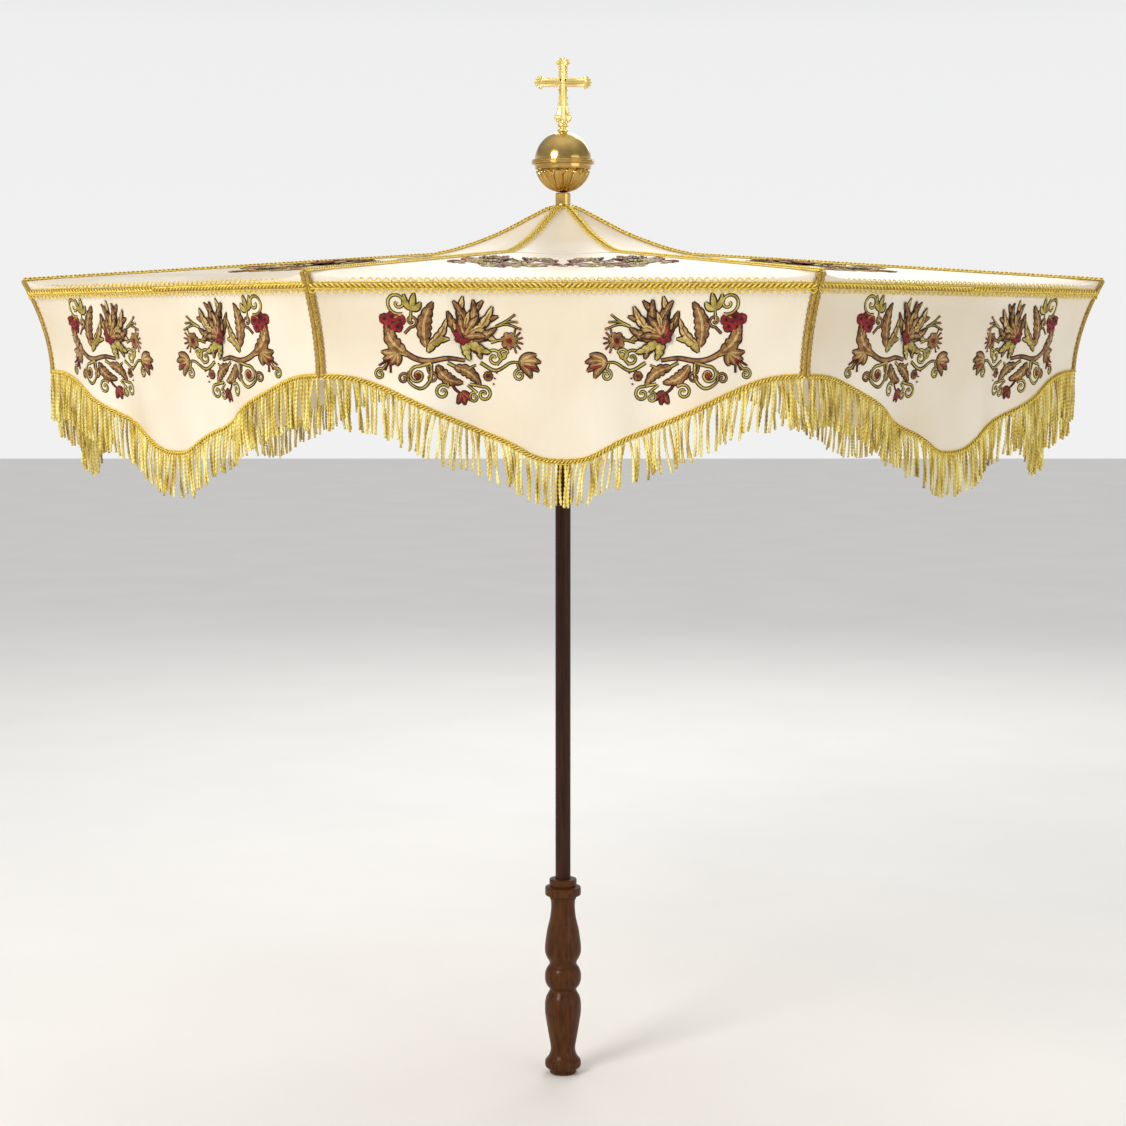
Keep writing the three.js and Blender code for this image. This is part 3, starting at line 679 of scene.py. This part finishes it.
def spray():
    """The embroidered spray, in millimetres about its middle: the wide end of
    the horn is at the left, the great flower in the middle."""
    made = []
    made += stem([(-62, 17), (-57, 3), (-43, -7.5), (-29, -10.5), (-12, -8), (4, -10)], 4.2, tan, 1.2, 0.5)
    made += leaf((-50, -3), (-66, 22), 13, tan, 0.16, 4, 1.3)
    for k, (x, y) in enumerate([(-67, 27), (-60, 29), (-53, 26), (-64, 20), (-56, 20)]):
        made += flower(x, y, 5.4, 5, crimson, outline, 20 * k)
    made += scroll(-54, 41, 9.5, -70, -1.35, 1.9, olive, (-58, 28))
    made += scroll(-43, 25, 4.6, -100, 1.2, 1.5, tan, (-50, 14))
    for tip, bend in (((-47, 49), 0.15), ((-38, 50), 0.0), ((-33, 42), -0.15)):
        made += leaf((-42, 35), tip, 5.2, olive, bend)
    made += stem([(-44, 25), (-42, 36)], 1.6, olive)
    made += leaf((-31, 2), (-22, 42), 13, tan, 0.12, 6, 1.4, 44)
    made += leaf((-29, 4), (-11, 27), 7, gold, -0.12, 4, 1.2)
    made += leaf((-30, -3), (-9, 9), 7.5, olive, 0.18, 3)
    made += stem([(-46, -6), (-54, -4), (-60, -1)], 2.0, olive)
    for tip in ((-73, -2), (-72, -9), (-66, -14), (-59, -15)):
        made += leaf((-58, -2), tip, 6.2, tan, 0.08)
    for tip in ((-75, -14), (-70, -18), (-65, -20)):
        made += stem([(-65, -8), tip], 0.9, crimson, 1.2)
        made += knot_stitch(*tip, 1.3, crimson)
    made += scroll(-75, -22, 4.2, 60, 1.2, 1.5, olive, (-68, -13))
    made += scroll(-40, -23, 7.2, 80, 1.3, 2.0, olive, (-27, -12))
    made += flower(-40, -23, 3.8, 6, crimson, outline)
    made += stem([(-27, -13), (-28, -27), (-37, -35), (-48, -29), (-48, -19)], 1.9, olive, 0.9)
    made += scroll(-53, -26, 4.2, 20, 1.2, 1.5, tan, (-48, -20))
    made += scroll(-27, -25, 4.2, 120, -1.2, 1.5, tan, (-31, -14))
    for k, tip in enumerate([(-10, 34), (-4, 43), (5, 47), (14, 44), (23, 43), (31, 38), (36, 29), (34, 19),
                             (33, 8), (28, -3), (19, -9), (9, -10)]):
        made += leaf((6, 10), tip, 8.5, (tan, tan, gold)[k % 3] if k < 9 else (tan, olive)[k % 2],
                     0.10 * (-1) ** k, 4, 1.2, 34, True, 0.9 * (k % 2))
    for k, tip in enumerate([(-5, 24), (2, 31), (10, 33), (18, 29), (24, 21), (24, 11)]):
        made += leaf((5, 11), tip, 6.5, (gold, tan)[k % 2], 0.06, 2, 1.2, 24, True, 1.5 + 0.6 * (k % 2))
    made += raised(flower(3, 12, 8.5, 7, crimson, outline, 10, 0.7), 2.2)
    made += raised(leaf((3, 10), (-1, 24), 5, crimson, 0.05), 2.4)
    for end, bend in (((52, 24), 3), ((55, 18), 1), ((50, 30), 4)):
        made += stem([(33, 20), (43, 21 + bend), end], 1.2, olive)
        made += knot_stitch(*end, 1.6, tan)
    made += stem([(28, 6), (36, 8), (42, 8)], 1.6, olive)
    made += flower(45, 7.5, 8.2, 7, tan, crimson, 12)
    for angle in range(-60, 61, 24):
        x = 45 + 12 * math.cos(math.radians(angle))
        y = 7.5 + 12 * math.sin(math.radians(angle))
        made += stem([(48, 7.5), (x, y)], 0.6, gold, 1.0)
        made += knot_stitch(x, y, 1.1, crimson)
    made += scroll(31, -8, 7.0, 150, -1.3, 1.9, olive, (22, -2))
    made += scroll(39, -5, 4.6, 30, 1.2, 1.6, olive, (33, -14))
    made += stem([(18, -12), (32, -19), (46, -12), (55, -12)], 2.0, olive, 1.0)
    for tip in ((70, -5), (74, -12), (72, -20), (65, -26)):
        made += leaf((54, -12), tip, 7, tan, 0.1)
    made += leaf((58, -15), (71, -17), 4, crimson, 0.0, 0, 1.7)
    made += scroll(54, -23, 4.4, 90, 1.2, 1.5, olive, (52, -13))
    made += leaf((-22, -14), (2, -30), 10.5, tan, -0.16, 5, 1.3, 40)
    made += leaf((-6, -16), (18, -33), 10, tan, 0.14, 5, 1.3, 40)
    made += stem([(-12, -12), (2, -18), (14, -14)], 2.0, olive)
    made += scroll(21, -40, 6.0, 100, -1.25, 1.8, olive, (8, -31))
    made += scroll(12, -43, 4.2, 60, 1.2, 1.5, olive, (6, -32))
    made += flower(25, -24, 4.8, 6, tan, crimson)
    for x, y in ((31, -26), (30, -31), (33, -21)):
        made += knot_stitch(x, y, 1.0, crimson)
    made += scroll(-17, -38, 6.2, 40, 1.3, 1.8, olive, (-12, -27))
    made += stem([(-10, -27), (-6, -35), (0, -40)], 1.5, crimson, 1.1)
    for tip in ((-4, -49), (3, -50), (9, -46)):
        made += leaf((0, -38), tip, 5, crimson, 0.08)
    return made


def worked(name, place, hand):
    """The spray as one mesh on a surface: place(x, y, height) gives points."""
    verts, faces, slots, stitches = [], [], [], []
    first = 0
    for grid, color in spray():
        rows, across = grid.shape[:2]
        points = place(grid[..., 0] / 1000, grid[..., 1] / 1000, grid[..., 2] / 1000)
        verts.append(mirrored(points, hand).reshape(-1, 3))
        index = np.arange(rows * across).reshape(rows, across) + first
        quads = np.stack([index[:-1, :-1], index[1:, :-1], index[1:, 1:], index[:-1, 1:]], -1).reshape(-1, 4)
        faces.append(quads if hand > 0 else quads[:, ::-1])
        slots += [color] * len(quads)
        pieces = np.linalg.norm(np.diff(grid[:, across // 2, :2], axis=0), axis=1)
        length = np.r_[0, np.cumsum(pieces)] / 1000
        stitches.append(np.stack([np.ones((rows, 1)) * np.linspace(0, 0.01, across)[None, :],
                                  length[:, None] * np.ones((1, across))], -1).reshape(-1, 2))
        first += rows * across
    made = new_object(name, np.concatenate(verts), np.concatenate(faces), silks, 60, slots)
    layer = made.data.uv_layers.new(name="stitches")
    corner = np.empty(len(made.data.loops), np.int32)
    made.data.loops.foreach_get("vertex_index", corner)
    layer.data.foreach_set("uv", np.concatenate(stitches)[corner].astype(np.float32).ravel())
    return made


spray_out = 0.096
spray_depth = 0.070
spray_size = 1.02
panel_spray_out = 0.318
panel_spray_aside = 0.058
panel_spray_long = 2.0
panel_spray_wide = 0.75


def on_valance(x, y, height):
    v = spray_out - x * spray_size
    depth = spray_depth - y * spray_size
    return valance_point(v, depth, height + cloth / 2)


def on_panel(x, y, height):
    """The spray is drawn out towards the peak, and kept off the seams."""
    out = panel_spray_out - y * panel_spray_long
    aside = panel_spray_aside + x * panel_spray_wide
    share = np.clip(aside / (out * math.tan(half_turn)), -0.98, 0.98)
    return panel_point(out, share) + np.stack([0 * x, 0 * x, height + cloth / 2], -1)


sprays = {}
for letter, hand in (("a", -1), ("b", 1)):
    sprays["valance" + letter] = worked(f"valance_spray_1{letter}", on_valance, hand)
    sprays["panel" + letter] = worked(f"panel_spray_1{letter}", on_panel, hand)
for panel in range(1, sides + 1):
    for letter in "ab":
        for place in ("valance", "panel"):
            piece = placed(sprays[place + letter], f"{place}_spray_{panel}{letter}", panel)
            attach(piece, f"{place}_{panel}{letter}")

# ---- Braids ----
# Gold gimp: a twisted core with loops along both edges, sewn over the rim and
# the rib seams, where each edging is sewn to its own panel. A narrow cord runs
# down each corner of the valances.


def gold_material(name, dark, color, light):
    material, nodes, links, shader = make_material(name, color, 0.36, 0.3)
    where = pattern_coordinates(nodes, links, (1, 1, 1))
    cloud = noise(nodes, links, where, 700, 2)
    links.new(ramp(nodes, links, cloud, [(0.30, dark), (0.45, color), (0.68, light)]),
              shader.inputs["Base Color"])
    bump(nodes, links, shader, noise(nodes, links, where, 2600, 2), 0.35, 0.0004)
    shader.inputs["Sheen Weight"].default_value = 0.04
    return material


gold_thread = gold_material("gold_thread", (0.44, 0.26, 0.010), (0.80, 0.56, 0.045), (1.0, 0.84, 0.22))
corner_thread = gold_material("corner_gold", (0.10, 0.05, 0.006), (0.40, 0.24, 0.03), (0.62, 0.42, 0.09))
# The core's gold is darker than the strands': painted shade where the core shows in the gaps between the
# wrapped strands.
core_shade_thread = gold_material("core_gold_painted_shade", (0.10, 0.04, 0.004), (0.26, 0.13, 0.012), (0.42, 0.25, 0.04))
golds = [gold_thread, core_shade_thread]


def cords(name, lines, radii, ups, materials, around=6, lobes=0, twist=0.0, tones=None):
    """Round or twisted cords along lines of points, as one mesh. ups holds one
    direction that each cord's cross-section starts from; tones picks materials."""
    verts, faces, slots = [], [], []
    first = 0
    turn = np.linspace(0, 2 * math.pi, around, endpoint=False)
    for line, radius, up, tone in zip(lines, radii, ups, tones or [0] * len(lines)):
        line = np.asarray(line, float)
        ahead = np.gradient(line, axis=0)
        ahead /= np.linalg.norm(ahead, axis=1, keepdims=True) + 1e-12
        side = np.cross(ahead, np.asarray(up, float))
        side /= np.linalg.norm(side, axis=1, keepdims=True) + 1e-12
        top = np.cross(side, ahead)
        steps = np.r_[0, np.cumsum(np.linalg.norm(np.diff(line, axis=0), axis=1))]
        angle = turn[None, :] + (steps * twist)[:, None]
        size = radius * (1 + 0.28 * np.cos(lobes * turn))[None, :] if lobes else radius * np.ones((1, around))
        sideways, upwards = size * np.cos(angle), size * np.sin(angle)
        points = line[:, None] + (side[:, None] * sideways[..., None] + top[:, None] * upwards[..., None])
        rows = len(line)
        index = np.arange(rows * around).reshape(rows, around) + first
        ahead_index = np.roll(index, -1, axis=1)
        faces.append(np.stack([index[:-1], ahead_index[:-1], ahead_index[1:], index[1:]], -1).reshape(-1, 4))
        centres = np.arange(2) + first + rows * around
        for row, centre, order in ((0, centres[0], -1), (rows - 1, centres[1], 1)):
            middle = np.full(around, centre)
            caps = np.stack([index[row], ahead_index[row], middle, middle], -1)
            faces.append(caps[:, ::order])
        slots += [tone] * ((rows + 1) * around)
        verts += [points.reshape(-1, 3), line[[0, -1]]]
        first += rows * around + 2
    faces = [tuple(dict.fromkeys(f)) for f in np.concatenate(faces).tolist()]
    return new_object(name, np.concatenate(verts), faces, materials, 80, slots)


def gimp(path, side, lift, width, loop, scallops=True, edges=(-1, 1), core=True):
    """The cords of a gimp braid about a path, their radii and their tones: two
    bright strands wrapped round a core in darker gold, which paints the shade in the
    gaps between the strands, with a straight cord and a row of loops along each
    of the edges asked for."""
    steps = np.r_[0, np.cumsum(np.linalg.norm(np.diff(path, axis=0), axis=1))]
    count = max(4, round(steps[-1] / loop))
    fine = np.linspace(0, steps[-1], count * 8 + 1)
    at, sideways, outwards = (np.stack([np.interp(fine, steps, points[:, k]) for k in range(3)], -1)
                              for points in (path, side, lift))
    phase = fine / steps[-1] * count * 2 * math.pi
    lines, radii, tones = [], [], []
    if core:
        # The core takes the darker gold (tone 1): painted shade in the gaps between the strands.
        lines.append(at[::4] + outwards[::4] * width * 0.08)
        radii.append(width * 0.105)
        tones.append(1)
        for start in (0, math.pi):
            lines.append(at + sideways * (width * 0.115 * np.sin(phase * 0.75 + start))[:, None]
                         + outwards * (width * (0.09 + 0.11 * np.cos(phase * 0.75 + start)))[:, None])
            radii.append(width * 0.06)
            tones.append(0)
    for edge in edges:
        lines.append(at[::4] + sideways[::4] * edge * width * 0.215 + outwards[::4] * width * 0.055)
        radii.append(width * 0.042)
        tones.append(0)
        if scallops:
            out = width * (0.25 + 0.24 * np.abs(np.sin(phase / 2)))
            lines.append(at + sideways * (edge * out)[:, None] + outwards * width * 0.045)
            radii.append(width * 0.040)
            tones.append(0)
    return lines, radii, tones


gimp_depth = 0.0125
v = np.linspace(0.0, rim_half * 0.997, 60)
rim_sources = {}
for letter, hand in (("a", -1), ("b", 1)):
    path = mirrored(valance_point(v, gimp_depth + 0 * v), hand)
    side = np.tile([0.0, 0.0, 1.0], (len(v), 1))
    lift = np.tile([1.0, 0.0, 0.0], (len(v), 1))
    lines, radii, tones = gimp(path, side, lift, 0.0138, 0.0072)
    rim_sources[letter] = cords(f"rim_gimp_1{letter}", lines, radii, [(1, 0, 0)] * len(lines), golds,
                                tones=tones)
corner_sources = {}
for letter, hand in (("a", -1), ("b", 1)):
    depth = np.linspace(0.0006, valance_corner * 0.97, 150)
    path = mirrored(valance_point(rim_half - 0.0022 + 0 * depth, depth, 0.0010), hand)
    phase = depth / 0.0052 * 2 * math.pi
    sideways = np.array([0.0, -hand * 1.0, 0.0])
    lines, radii = [], []
    for start in (0, 2 * math.pi / 3, 4 * math.pi / 3):
        lines.append(path + sideways * (0.0014 * np.sin(phase + start))[:, None]
                     + np.array([1.0, 0, 0]) * (0.0007 * np.cos(phase + start))[:, None])
        radii.append(0.00095)
    lines.append(path + sideways * (0.0023 + 0.0011 * np.abs(np.sin(phase / 2)))[:, None])
    radii.append(0.00045)
    corner_sources[letter] = cords(f"corner_braid_1{letter}", lines, radii, [(1, 0, 0)] * 4, [corner_thread])


across_rib = np.array([-math.sin(half_turn), math.cos(half_turn), 0.0])


def seam_braid(name, path, width, edges, core):
    """A gimp over a seam that runs out along rib 1, lying on the cloth."""
    lift = np.cross(np.gradient(path, axis=0), across_rib)
    lift /= np.linalg.norm(lift, axis=1, keepdims=True)
    across = np.tile(across_rib, (len(path), 1))
    lines, radii, tones = gimp(path, across, lift, width, 0.0070, True, edges, core)
    return cords(name, lines, radii, [across_rib] * len(lines), golds, tones=tones)


out = np.linspace(peak_hem - 0.004, apothem - rim_roll * 0.3, 90)
path = panel_point(out, 1 + 0 * out) + np.array([0, 0, 0.0006])
seam_sources = {
    "rib_braid": seam_braid("rib_braid_1", path, 0.0120, (), True),
    "rib_edging_b": seam_braid("rib_edging_b_1", path, 0.0120, (-1,), False),
    "rib_edging_a": seam_braid("rib_edging_a_1", path, 0.0120, (1,), False),
}
out = np.linspace(peak_neck + 0.0005, peak_hem - 0.002, 50)
path = peak_point(out, half_turn + 0 * out, 0.0006)
seam_sources["peak_braid"] = seam_braid("peak_braid_1", path, 0.0118, (-1, 1), True)

hung = {}
for panel in range(1, sides + 1):
    for name, body in (("rib_braid", f"rib_{panel}"), ("rib_edging_b", f"panel_{panel}b"),
                       ("rib_edging_a", f"panel_{panel % sides + 1}a"), ("peak_braid", "pole_assembly")):
        piece = placed(seam_sources[name], f"{name}_{panel}", panel)
        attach(piece, body)
    for letter in "ab":
        hung[panel, letter] = []
        for name, source in (("rim_gimp", rim_sources[letter]), ("corner_braid", corner_sources[letter])):
            piece = placed(source, f"{name}_{panel}{letter}", panel)
            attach(piece, f"valance_{panel}{letter}")
            hung[panel, letter].append(piece)

# ---- Fringe ----
# Gold bullion: twisted cords that hang from a woven header, which is sewn
# along each valance's lower edge. No two cords hang quite alike. The valance
# cloth is declared here, with everything that hangs on it.


def fringe_material():
    material, nodes, links, shader = make_material("fringe_silk", (0.55, 0.37, 0.11), 0.42, 0.1)
    where = pattern_coordinates(nodes, links, (1, 1, 0.12))
    # The streaky noise gives each cord its own tone, and also painted highlights in the bright yellow and
    # painted shade in the dark olive-brown.
    cloud = noise(nodes, links, where, 260, 3)
    tones = [(0.3, (0.24, 0.15, 0.015)), (0.46, (0.68, 0.49, 0.06)), (0.64, (0.98, 0.87, 0.32))]
    links.new(ramp(nodes, links, cloud, tones), shader.inputs["Base Color"])
    fibres = noise(nodes, links, pattern_coordinates(nodes, links, (1, 1, 1)), 2400, 2)
    bump(nodes, links, shader, fibres, 0.4, 0.0004)
    shader.inputs["Sheen Weight"].default_value = 0.05
    return material


fringe_silk = fringe_material()
fringe_drop = 0.040
corner_drop = 0.008
cord_radius = 0.00124
cord_spacing = 0.0041


def fringe_lines(dice, hand):
    """The hanging cords of one half valance, each with its own lean."""
    lines = []
    count = round(rim_half / cord_spacing)
    lean_wave = dice.uniform(0, 6)
    for k in range(count):
        v = (k + 0.5) * rim_half / count * 0.992
        top = valance_point(np.array(v), valance_depth(np.array(v)) - 0.002, 0.0012)
        length = (fringe_drop + corner_drop * (v / rim_half) ** 4) * dice.uniform(0.93, 1.07)
        lean = 0.10 * math.sin(lean_wave + v * 45) + dice.uniform(-0.10, 0.10)
        forward = dice.uniform(-0.07, 0.05)
        bow = dice.uniform(-0.0022, 0.0022)
        t = np.linspace(0, 1, 26)
        line = np.stack([top[0] + forward * length * t + 0.0008 * np.sin(3 * t),
                         top[1] + lean * length * t + bow * np.sin(math.pi * t),
                         top[2] - length * t], -1)
        lines.append(mirrored(line, hand))
    return lines


fringe_sources = {}
header_sources = {}
variants = 3
for letter, hand in (("a", -1), ("b", 1)):
    for variant in range(variants):
        dice = random.Random(100 * variant + hand)
        lines = fringe_lines(dice, hand)
        fringe_sources[letter, variant] = cords(
            f"fringe_{variant + 1}{letter}", lines, [cord_radius] * len(lines), [(1, 0, 0)] * len(lines),
            [fringe_silk], 8, 2, 800)
    v = np.linspace(0, rim_half * 0.995, 120)
    path = mirrored(valance_point(v, valance_depth(v) - 0.0032, 0.0007), hand)
    ahead = np.gradient(path, axis=0)
    ahead /= np.linalg.norm(ahead, axis=1, keepdims=True)
    side = np.cross(np.tile([1.0, 0, 0], (len(v), 1)), ahead)
    lift = np.tile([1.0, 0, 0], (len(v), 1))
    lines, radii, tones = gimp(path, side, lift, 0.0105, 0.0052, False)
    header_sources[letter] = cords(f"fringe_header_1{letter}", lines, radii, [(1, 0, 0)] * len(lines), golds,
                                   tones=tones)

for panel in range(1, sides + 1):
    for letter in "ab":
        body = f"valance_{panel}{letter}"
        header = placed(header_sources[letter], f"fringe_header_{panel}{letter}", panel)
        cords_source = fringe_sources[letter, panel % variants]
        bullion = copy_to(cords_source, f"fringe_cords_{panel}{letter}", panel)
        for piece in (header, bullion):
            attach(piece, body)
            hung[panel, letter].append(piece)
        piece = placed(valance_sources[letter], f"valance_cloth_{panel}{letter}", panel)
        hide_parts(body)
        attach(piece, body)
for source in fringe_sources.values():
    bpy.data.objects.remove(source)

# ---- Finial: tube, ball, band and cross ----
# A brass tube carries a spun brass ball in two halves with a cast band between
# them. The cross is cast, chased along its edges, gilded and screwed on top.
ball_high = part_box("ball_upper")[1]
band_low, band_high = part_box("ball_band")
ball_radius = ball_high[0]
ball_middle = (band_low[2] + band_high[2]) / 2
ball_half = ball_high[2] - ball_middle
gilt = metal_material("bright_gilt", (1.0, 0.80, 0.34), 0.2, 1400, (0.86, 0.60, 0.18), 0.03)
dark_brass = metal_material("ball_brass", (0.66, 0.46, 0.16), 0.13, 1100, (0.45, 0.29, 0.08), 0.02)

tube_line = [(tube_high[0] - 0.0022, tube_low[2] - 0.0065), (tube_high[0] + 0.0001, tube_low[2] - 0.006),
             (tube_high[0] + 0.0006, tube_low[2] + 0.009)]
tube_line += [(tube_high[0] + 0.0006 * math.cos(k), tube_low[2] + 0.009 + 0.0006 * k) for k in range(1, 4)]
tube_line += [(tube_high[0] - 0.0004, tube_low[2] + 0.012), (tube_high[0] - 0.0004, tube_high[2] - 0.001),
              (tube_high[0] - 0.0014, tube_high[2])]
tube = new_object("finial_collar", *turned(tube_line), [brass], 40)
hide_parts("finial_tube")
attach(tube, "pole_assembly")

gadroons = 16
plain_band = 0.009
lobe_rise = 0.0034
ground_depth = 0.0030
lobe_foot = 0.014


def gadroon(angle, radius, height):
    """Swell the lower ball into round-topped lobes under the plain band."""
    across = (angle * gadroons / (2 * math.pi)) % 1 * 2 - 1
    below = ball_middle - height - plain_band - 0.006 * across ** 2
    fade = min(1, radius / lobe_foot)
    swell = min(1, max(0, below / 0.0016)) * fade
    ground = min(1, max(0, (ball_middle - height - plain_band + 0.001) / 0.001)) * fade
    return radius - ground * ground_depth + swell * lobe_rise * math.sqrt(1 - across ** 2 * 0.96)


def ball_line(start, end, steps):
    line = []
    for k in range(steps + 1):
        height = start + (end - start) * k / steps
        share = min(1, abs(height) / ball_half)
        line.append((max(0.0006, ball_radius * 1.004 * math.sqrt(1 - share ** 2)), ball_middle + height))
    return line


lower = [(r - (0.0006 if abs(ball_middle - z - plain_band) < 0.0007 else 0), z)
         for r, z in ball_line(-ball_half, band_low[2] - ball_middle, 60)]
upper = ball_line(band_high[2] - ball_middle, ball_half, 40)
for name, node, line, around, shape in (("gadrooned_ball", "ball_lower", lower, 256, gadroon),
                                        ("plain_ball", "ball_upper", upper, 96, None)):
    piece = new_object(name, *turned(line, around, shape), [dark_brass], 40)
    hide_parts(node)
    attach(piece, "pole_assembly")

band_radius = band_high[0]
band_line = []
grooves = 3
for k in range(49):
    share = k / 48
    edge = min(1, math.sin(math.pi * share) * 3.2)
    groove = 0.0007 * (1 - math.cos(share * grooves * 2 * math.pi)) / 2
    band_line.append((ball_radius - 0.001 + (band_radius - ball_radius + 0.001) * edge - groove * edge,
                      band_low[2] + (band_high[2] - band_low[2]) * share))
band = new_object("ball_band_ring", *turned(band_line, 128), [dark_brass], 50)
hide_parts("ball_band")
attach(band, "pole_assembly")

cross_low, cross_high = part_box("cross")
cross_bar = cross_high[2] - 0.028
cross_reach = cross_high[0]
bead_radius = 0.00135
bead_spacing = 0.0029
neck = 0.010
neck_top = cross_low[2] + neck
knob_line = [(radius, cross_low[2] + up) for radius, up in (
    (0.0062, -0.0004), (0.0064, 0.0012), (0.0052, 0.0024), (0.0034, 0.0034), (0.0036, 0.0042),
    (0.0056, 0.0052), (0.0061, 0.0066), (0.0054, 0.0080), (0.0030, 0.0092), (0.0026, neck + 0.002))]
cross_parts = [turned([tuple(p) for p in rounded(knob_line, 4)], 40)]


def upright_cord(line, radius, around=8, taper=None):
    """A rod along points (x, z) in the plane of the cross."""
    line = np.array([(x, 0.0, z) for x, z in line])
    ahead = np.gradient(line, axis=0)
    ahead /= np.linalg.norm(ahead, axis=1, keepdims=True) + 1e-12
    across = np.cross(ahead, [0, 1, 0])
    size = np.full(len(line), radius) if taper is None else radius * np.asarray(taper)
    turn = np.linspace(0, 2 * math.pi, around, endpoint=False)
    ring = (across[:, None] * np.cos(turn)[None, :, None] + np.array([0, 1, 0]) * np.sin(turn)[None, :, None])
    points = line[:, None] + ring * size[:, None, None]
    index = np.arange(len(line) * around).reshape(len(line), around)
    nxt = np.roll(index, -1, axis=1)
    faces = np.stack([index[:-1], index[1:], nxt[1:], nxt[:-1]], -1).reshape(-1, 4).tolist()
    faces += [list(index[0]), list(index[-1][::-1])]
    return points.reshape(-1, 3).tolist(), faces


def rivet(x, z, radius):
    """A small bead on the cross, round in front and behind."""
    rows = [(math.sin(a) * radius, math.cos(a) * radius) for a in np.linspace(0.2, math.pi - 0.2, 6)]
    verts, faces = [], []
    for out, up in rows:
        for k in range(8):
            verts.append((x + out * math.cos(k * math.pi / 4), out * math.sin(k * math.pi / 4), z + up))
    for row in range(5):
        for k in range(8):
            here, other = row * 8, (k + 1) % 8
            faces.append((here + k, here + 8 + k, here + 8 + other, here + other))
    faces += [tuple(range(8)), tuple(range(47, 39, -1))]
    return verts, faces


def bar_parts(start, end, reach_out):
    """One arm: a ridged core, thin side rods and a row of beads each side."""
    parts = []
    start, end = np.array(start), np.array(end)
    length = np.linalg.norm(end - start)
    ahead = (end - start) / length
    across = np.array([-ahead[1], ahead[0]])
    parts.append(upright_cord([start, start + ahead * length / 2, end], 0.0027, 12))
    for side in (-1, 1):
        edge = across * side * reach_out
        parts.append(upright_cord([start + edge * 0.62, end + edge * 0.62], 0.0007, 6))
        beads = round(length / bead_spacing)
        for k in range(beads):
            spot = start + ahead * (k + 0.5) * length / beads + edge
            parts.append(rivet(*spot, bead_radius))
    return parts


def shell_end(tip, ahead):
    """A palmette: seven ribs that fan out to rounded lobes."""
    parts = []
    tip, ahead = np.array(tip), np.array(ahead, float)
    across = np.array([-ahead[1], ahead[0]])
    root = tip - ahead * 0.0095
    for k in range(-3, 4):
        lean = k * 0.40
        way = ahead * math.cos(lean) + across * math.sin(lean)
        size = 0.0086 - 0.0004 * abs(k)
        end = root + way * size
        t = np.linspace(0, 1, 7)
        ray = [root + way * size * share for share in t]
        parts.append(upright_cord(ray, 0.0015, 8, 0.35 + 0.65 * np.sin(t * 2.2)))
        parts.append(rivet(*end, 0.0011))
    parts.append(rivet(*root, 0.0026))
    return parts


def plate(points, thickness):
    """A flat plate in the plane of the cross, its front edges eased."""
    count = len(points)
    middle = np.mean(points, axis=0)
    verts = []
    for y, ease in ((-thickness / 2, 0.0006), (-thickness / 2 + 0.0005, 0), (thickness / 2 - 0.0005, 0),
                    (thickness / 2, 0.0006)):
        for x, z in points:
            inward = middle - np.array([x, z])
            inward /= np.linalg.norm(inward)
            verts.append((x + inward[0] * ease, y, z + inward[1] * ease))
    faces = [tuple(range(count)), tuple(reversed(range(3 * count, 4 * count)))]
    for row in range(3):
        for k in range(count):
            other = (k + 1) % count
            here, above = row * count, (row + 1) * count
            faces.append((here + k, above + k, above + other, here + other))
    return verts, faces


foot_z = neck_top - 0.001
bead_row = 0.0040
arm = 0.0038
tip = 0.0085
flare = rounded([(0.0043, cross_bar - 0.004), (0.0046, foot_z + 0.024), (0.0056, foot_z + 0.014),
                 (0.0072, foot_z + 0.0085), (0.0085, foot_z + 0.0062), (0.0070, foot_z + 0.0030),
                 (0.0030, foot_z + 0.0004)], 4)
left = [(-x, z) for x, z in reversed(flare)]
cross_parts.append(plate([tuple(p) for p in flare] + left, 0.0024))
cross_parts += bar_parts((0.0, foot_z + 0.004), (0.0, cross_bar), bead_row)[:1]
cross_parts += bar_parts((0.0, cross_bar), (0.0, cross_high[2] - tip), bead_row)
arm_top = cross_high[2] - 0.008
arm_end = cross_reach - 0.008
cross_parts.append(plate([(-arm, cross_bar), (arm, cross_bar), (arm, arm_top), (-arm, arm_top)], 0.0022))
cross_parts.append(plate([(-arm_end, cross_bar - arm), (arm_end, cross_bar - arm),
                          (arm_end, cross_bar + arm), (-arm_end, cross_bar + arm)], 0.0022))
for side in (-1, 1):
    cross_parts += bar_parts((side * 0.003, cross_bar), (side * (cross_reach - tip), cross_bar), bead_row)
    cross_parts += shell_end((side * cross_reach, cross_bar), (side, 0))
    for x, z in flare[1:-1:2]:
        cross_parts.append(rivet(side * x, z, bead_radius))
    fork = rounded([(side * 0.0062, foot_z + 0.0060), (side * 0.0030, foot_z + 0.0042),
                    (0.0, foot_z + 0.0012)], 5)
    cross_parts.append(upright_cord(fork, 0.0013))
cross_parts += shell_end((0.0, cross_high[2]), (0, 1))
cross_parts.append(rivet(0.0, cross_bar, 0.0034))
verts, faces = [], []
for part_verts, part_faces in cross_parts:
    first = len(verts)
    verts += list(part_verts)
    faces += [tuple(i + first for i in face) for face in part_faces]
cross = new_object("gilt_cross", verts, faces, [gilt], 50)
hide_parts("cross")
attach(cross, "pole_assembly")
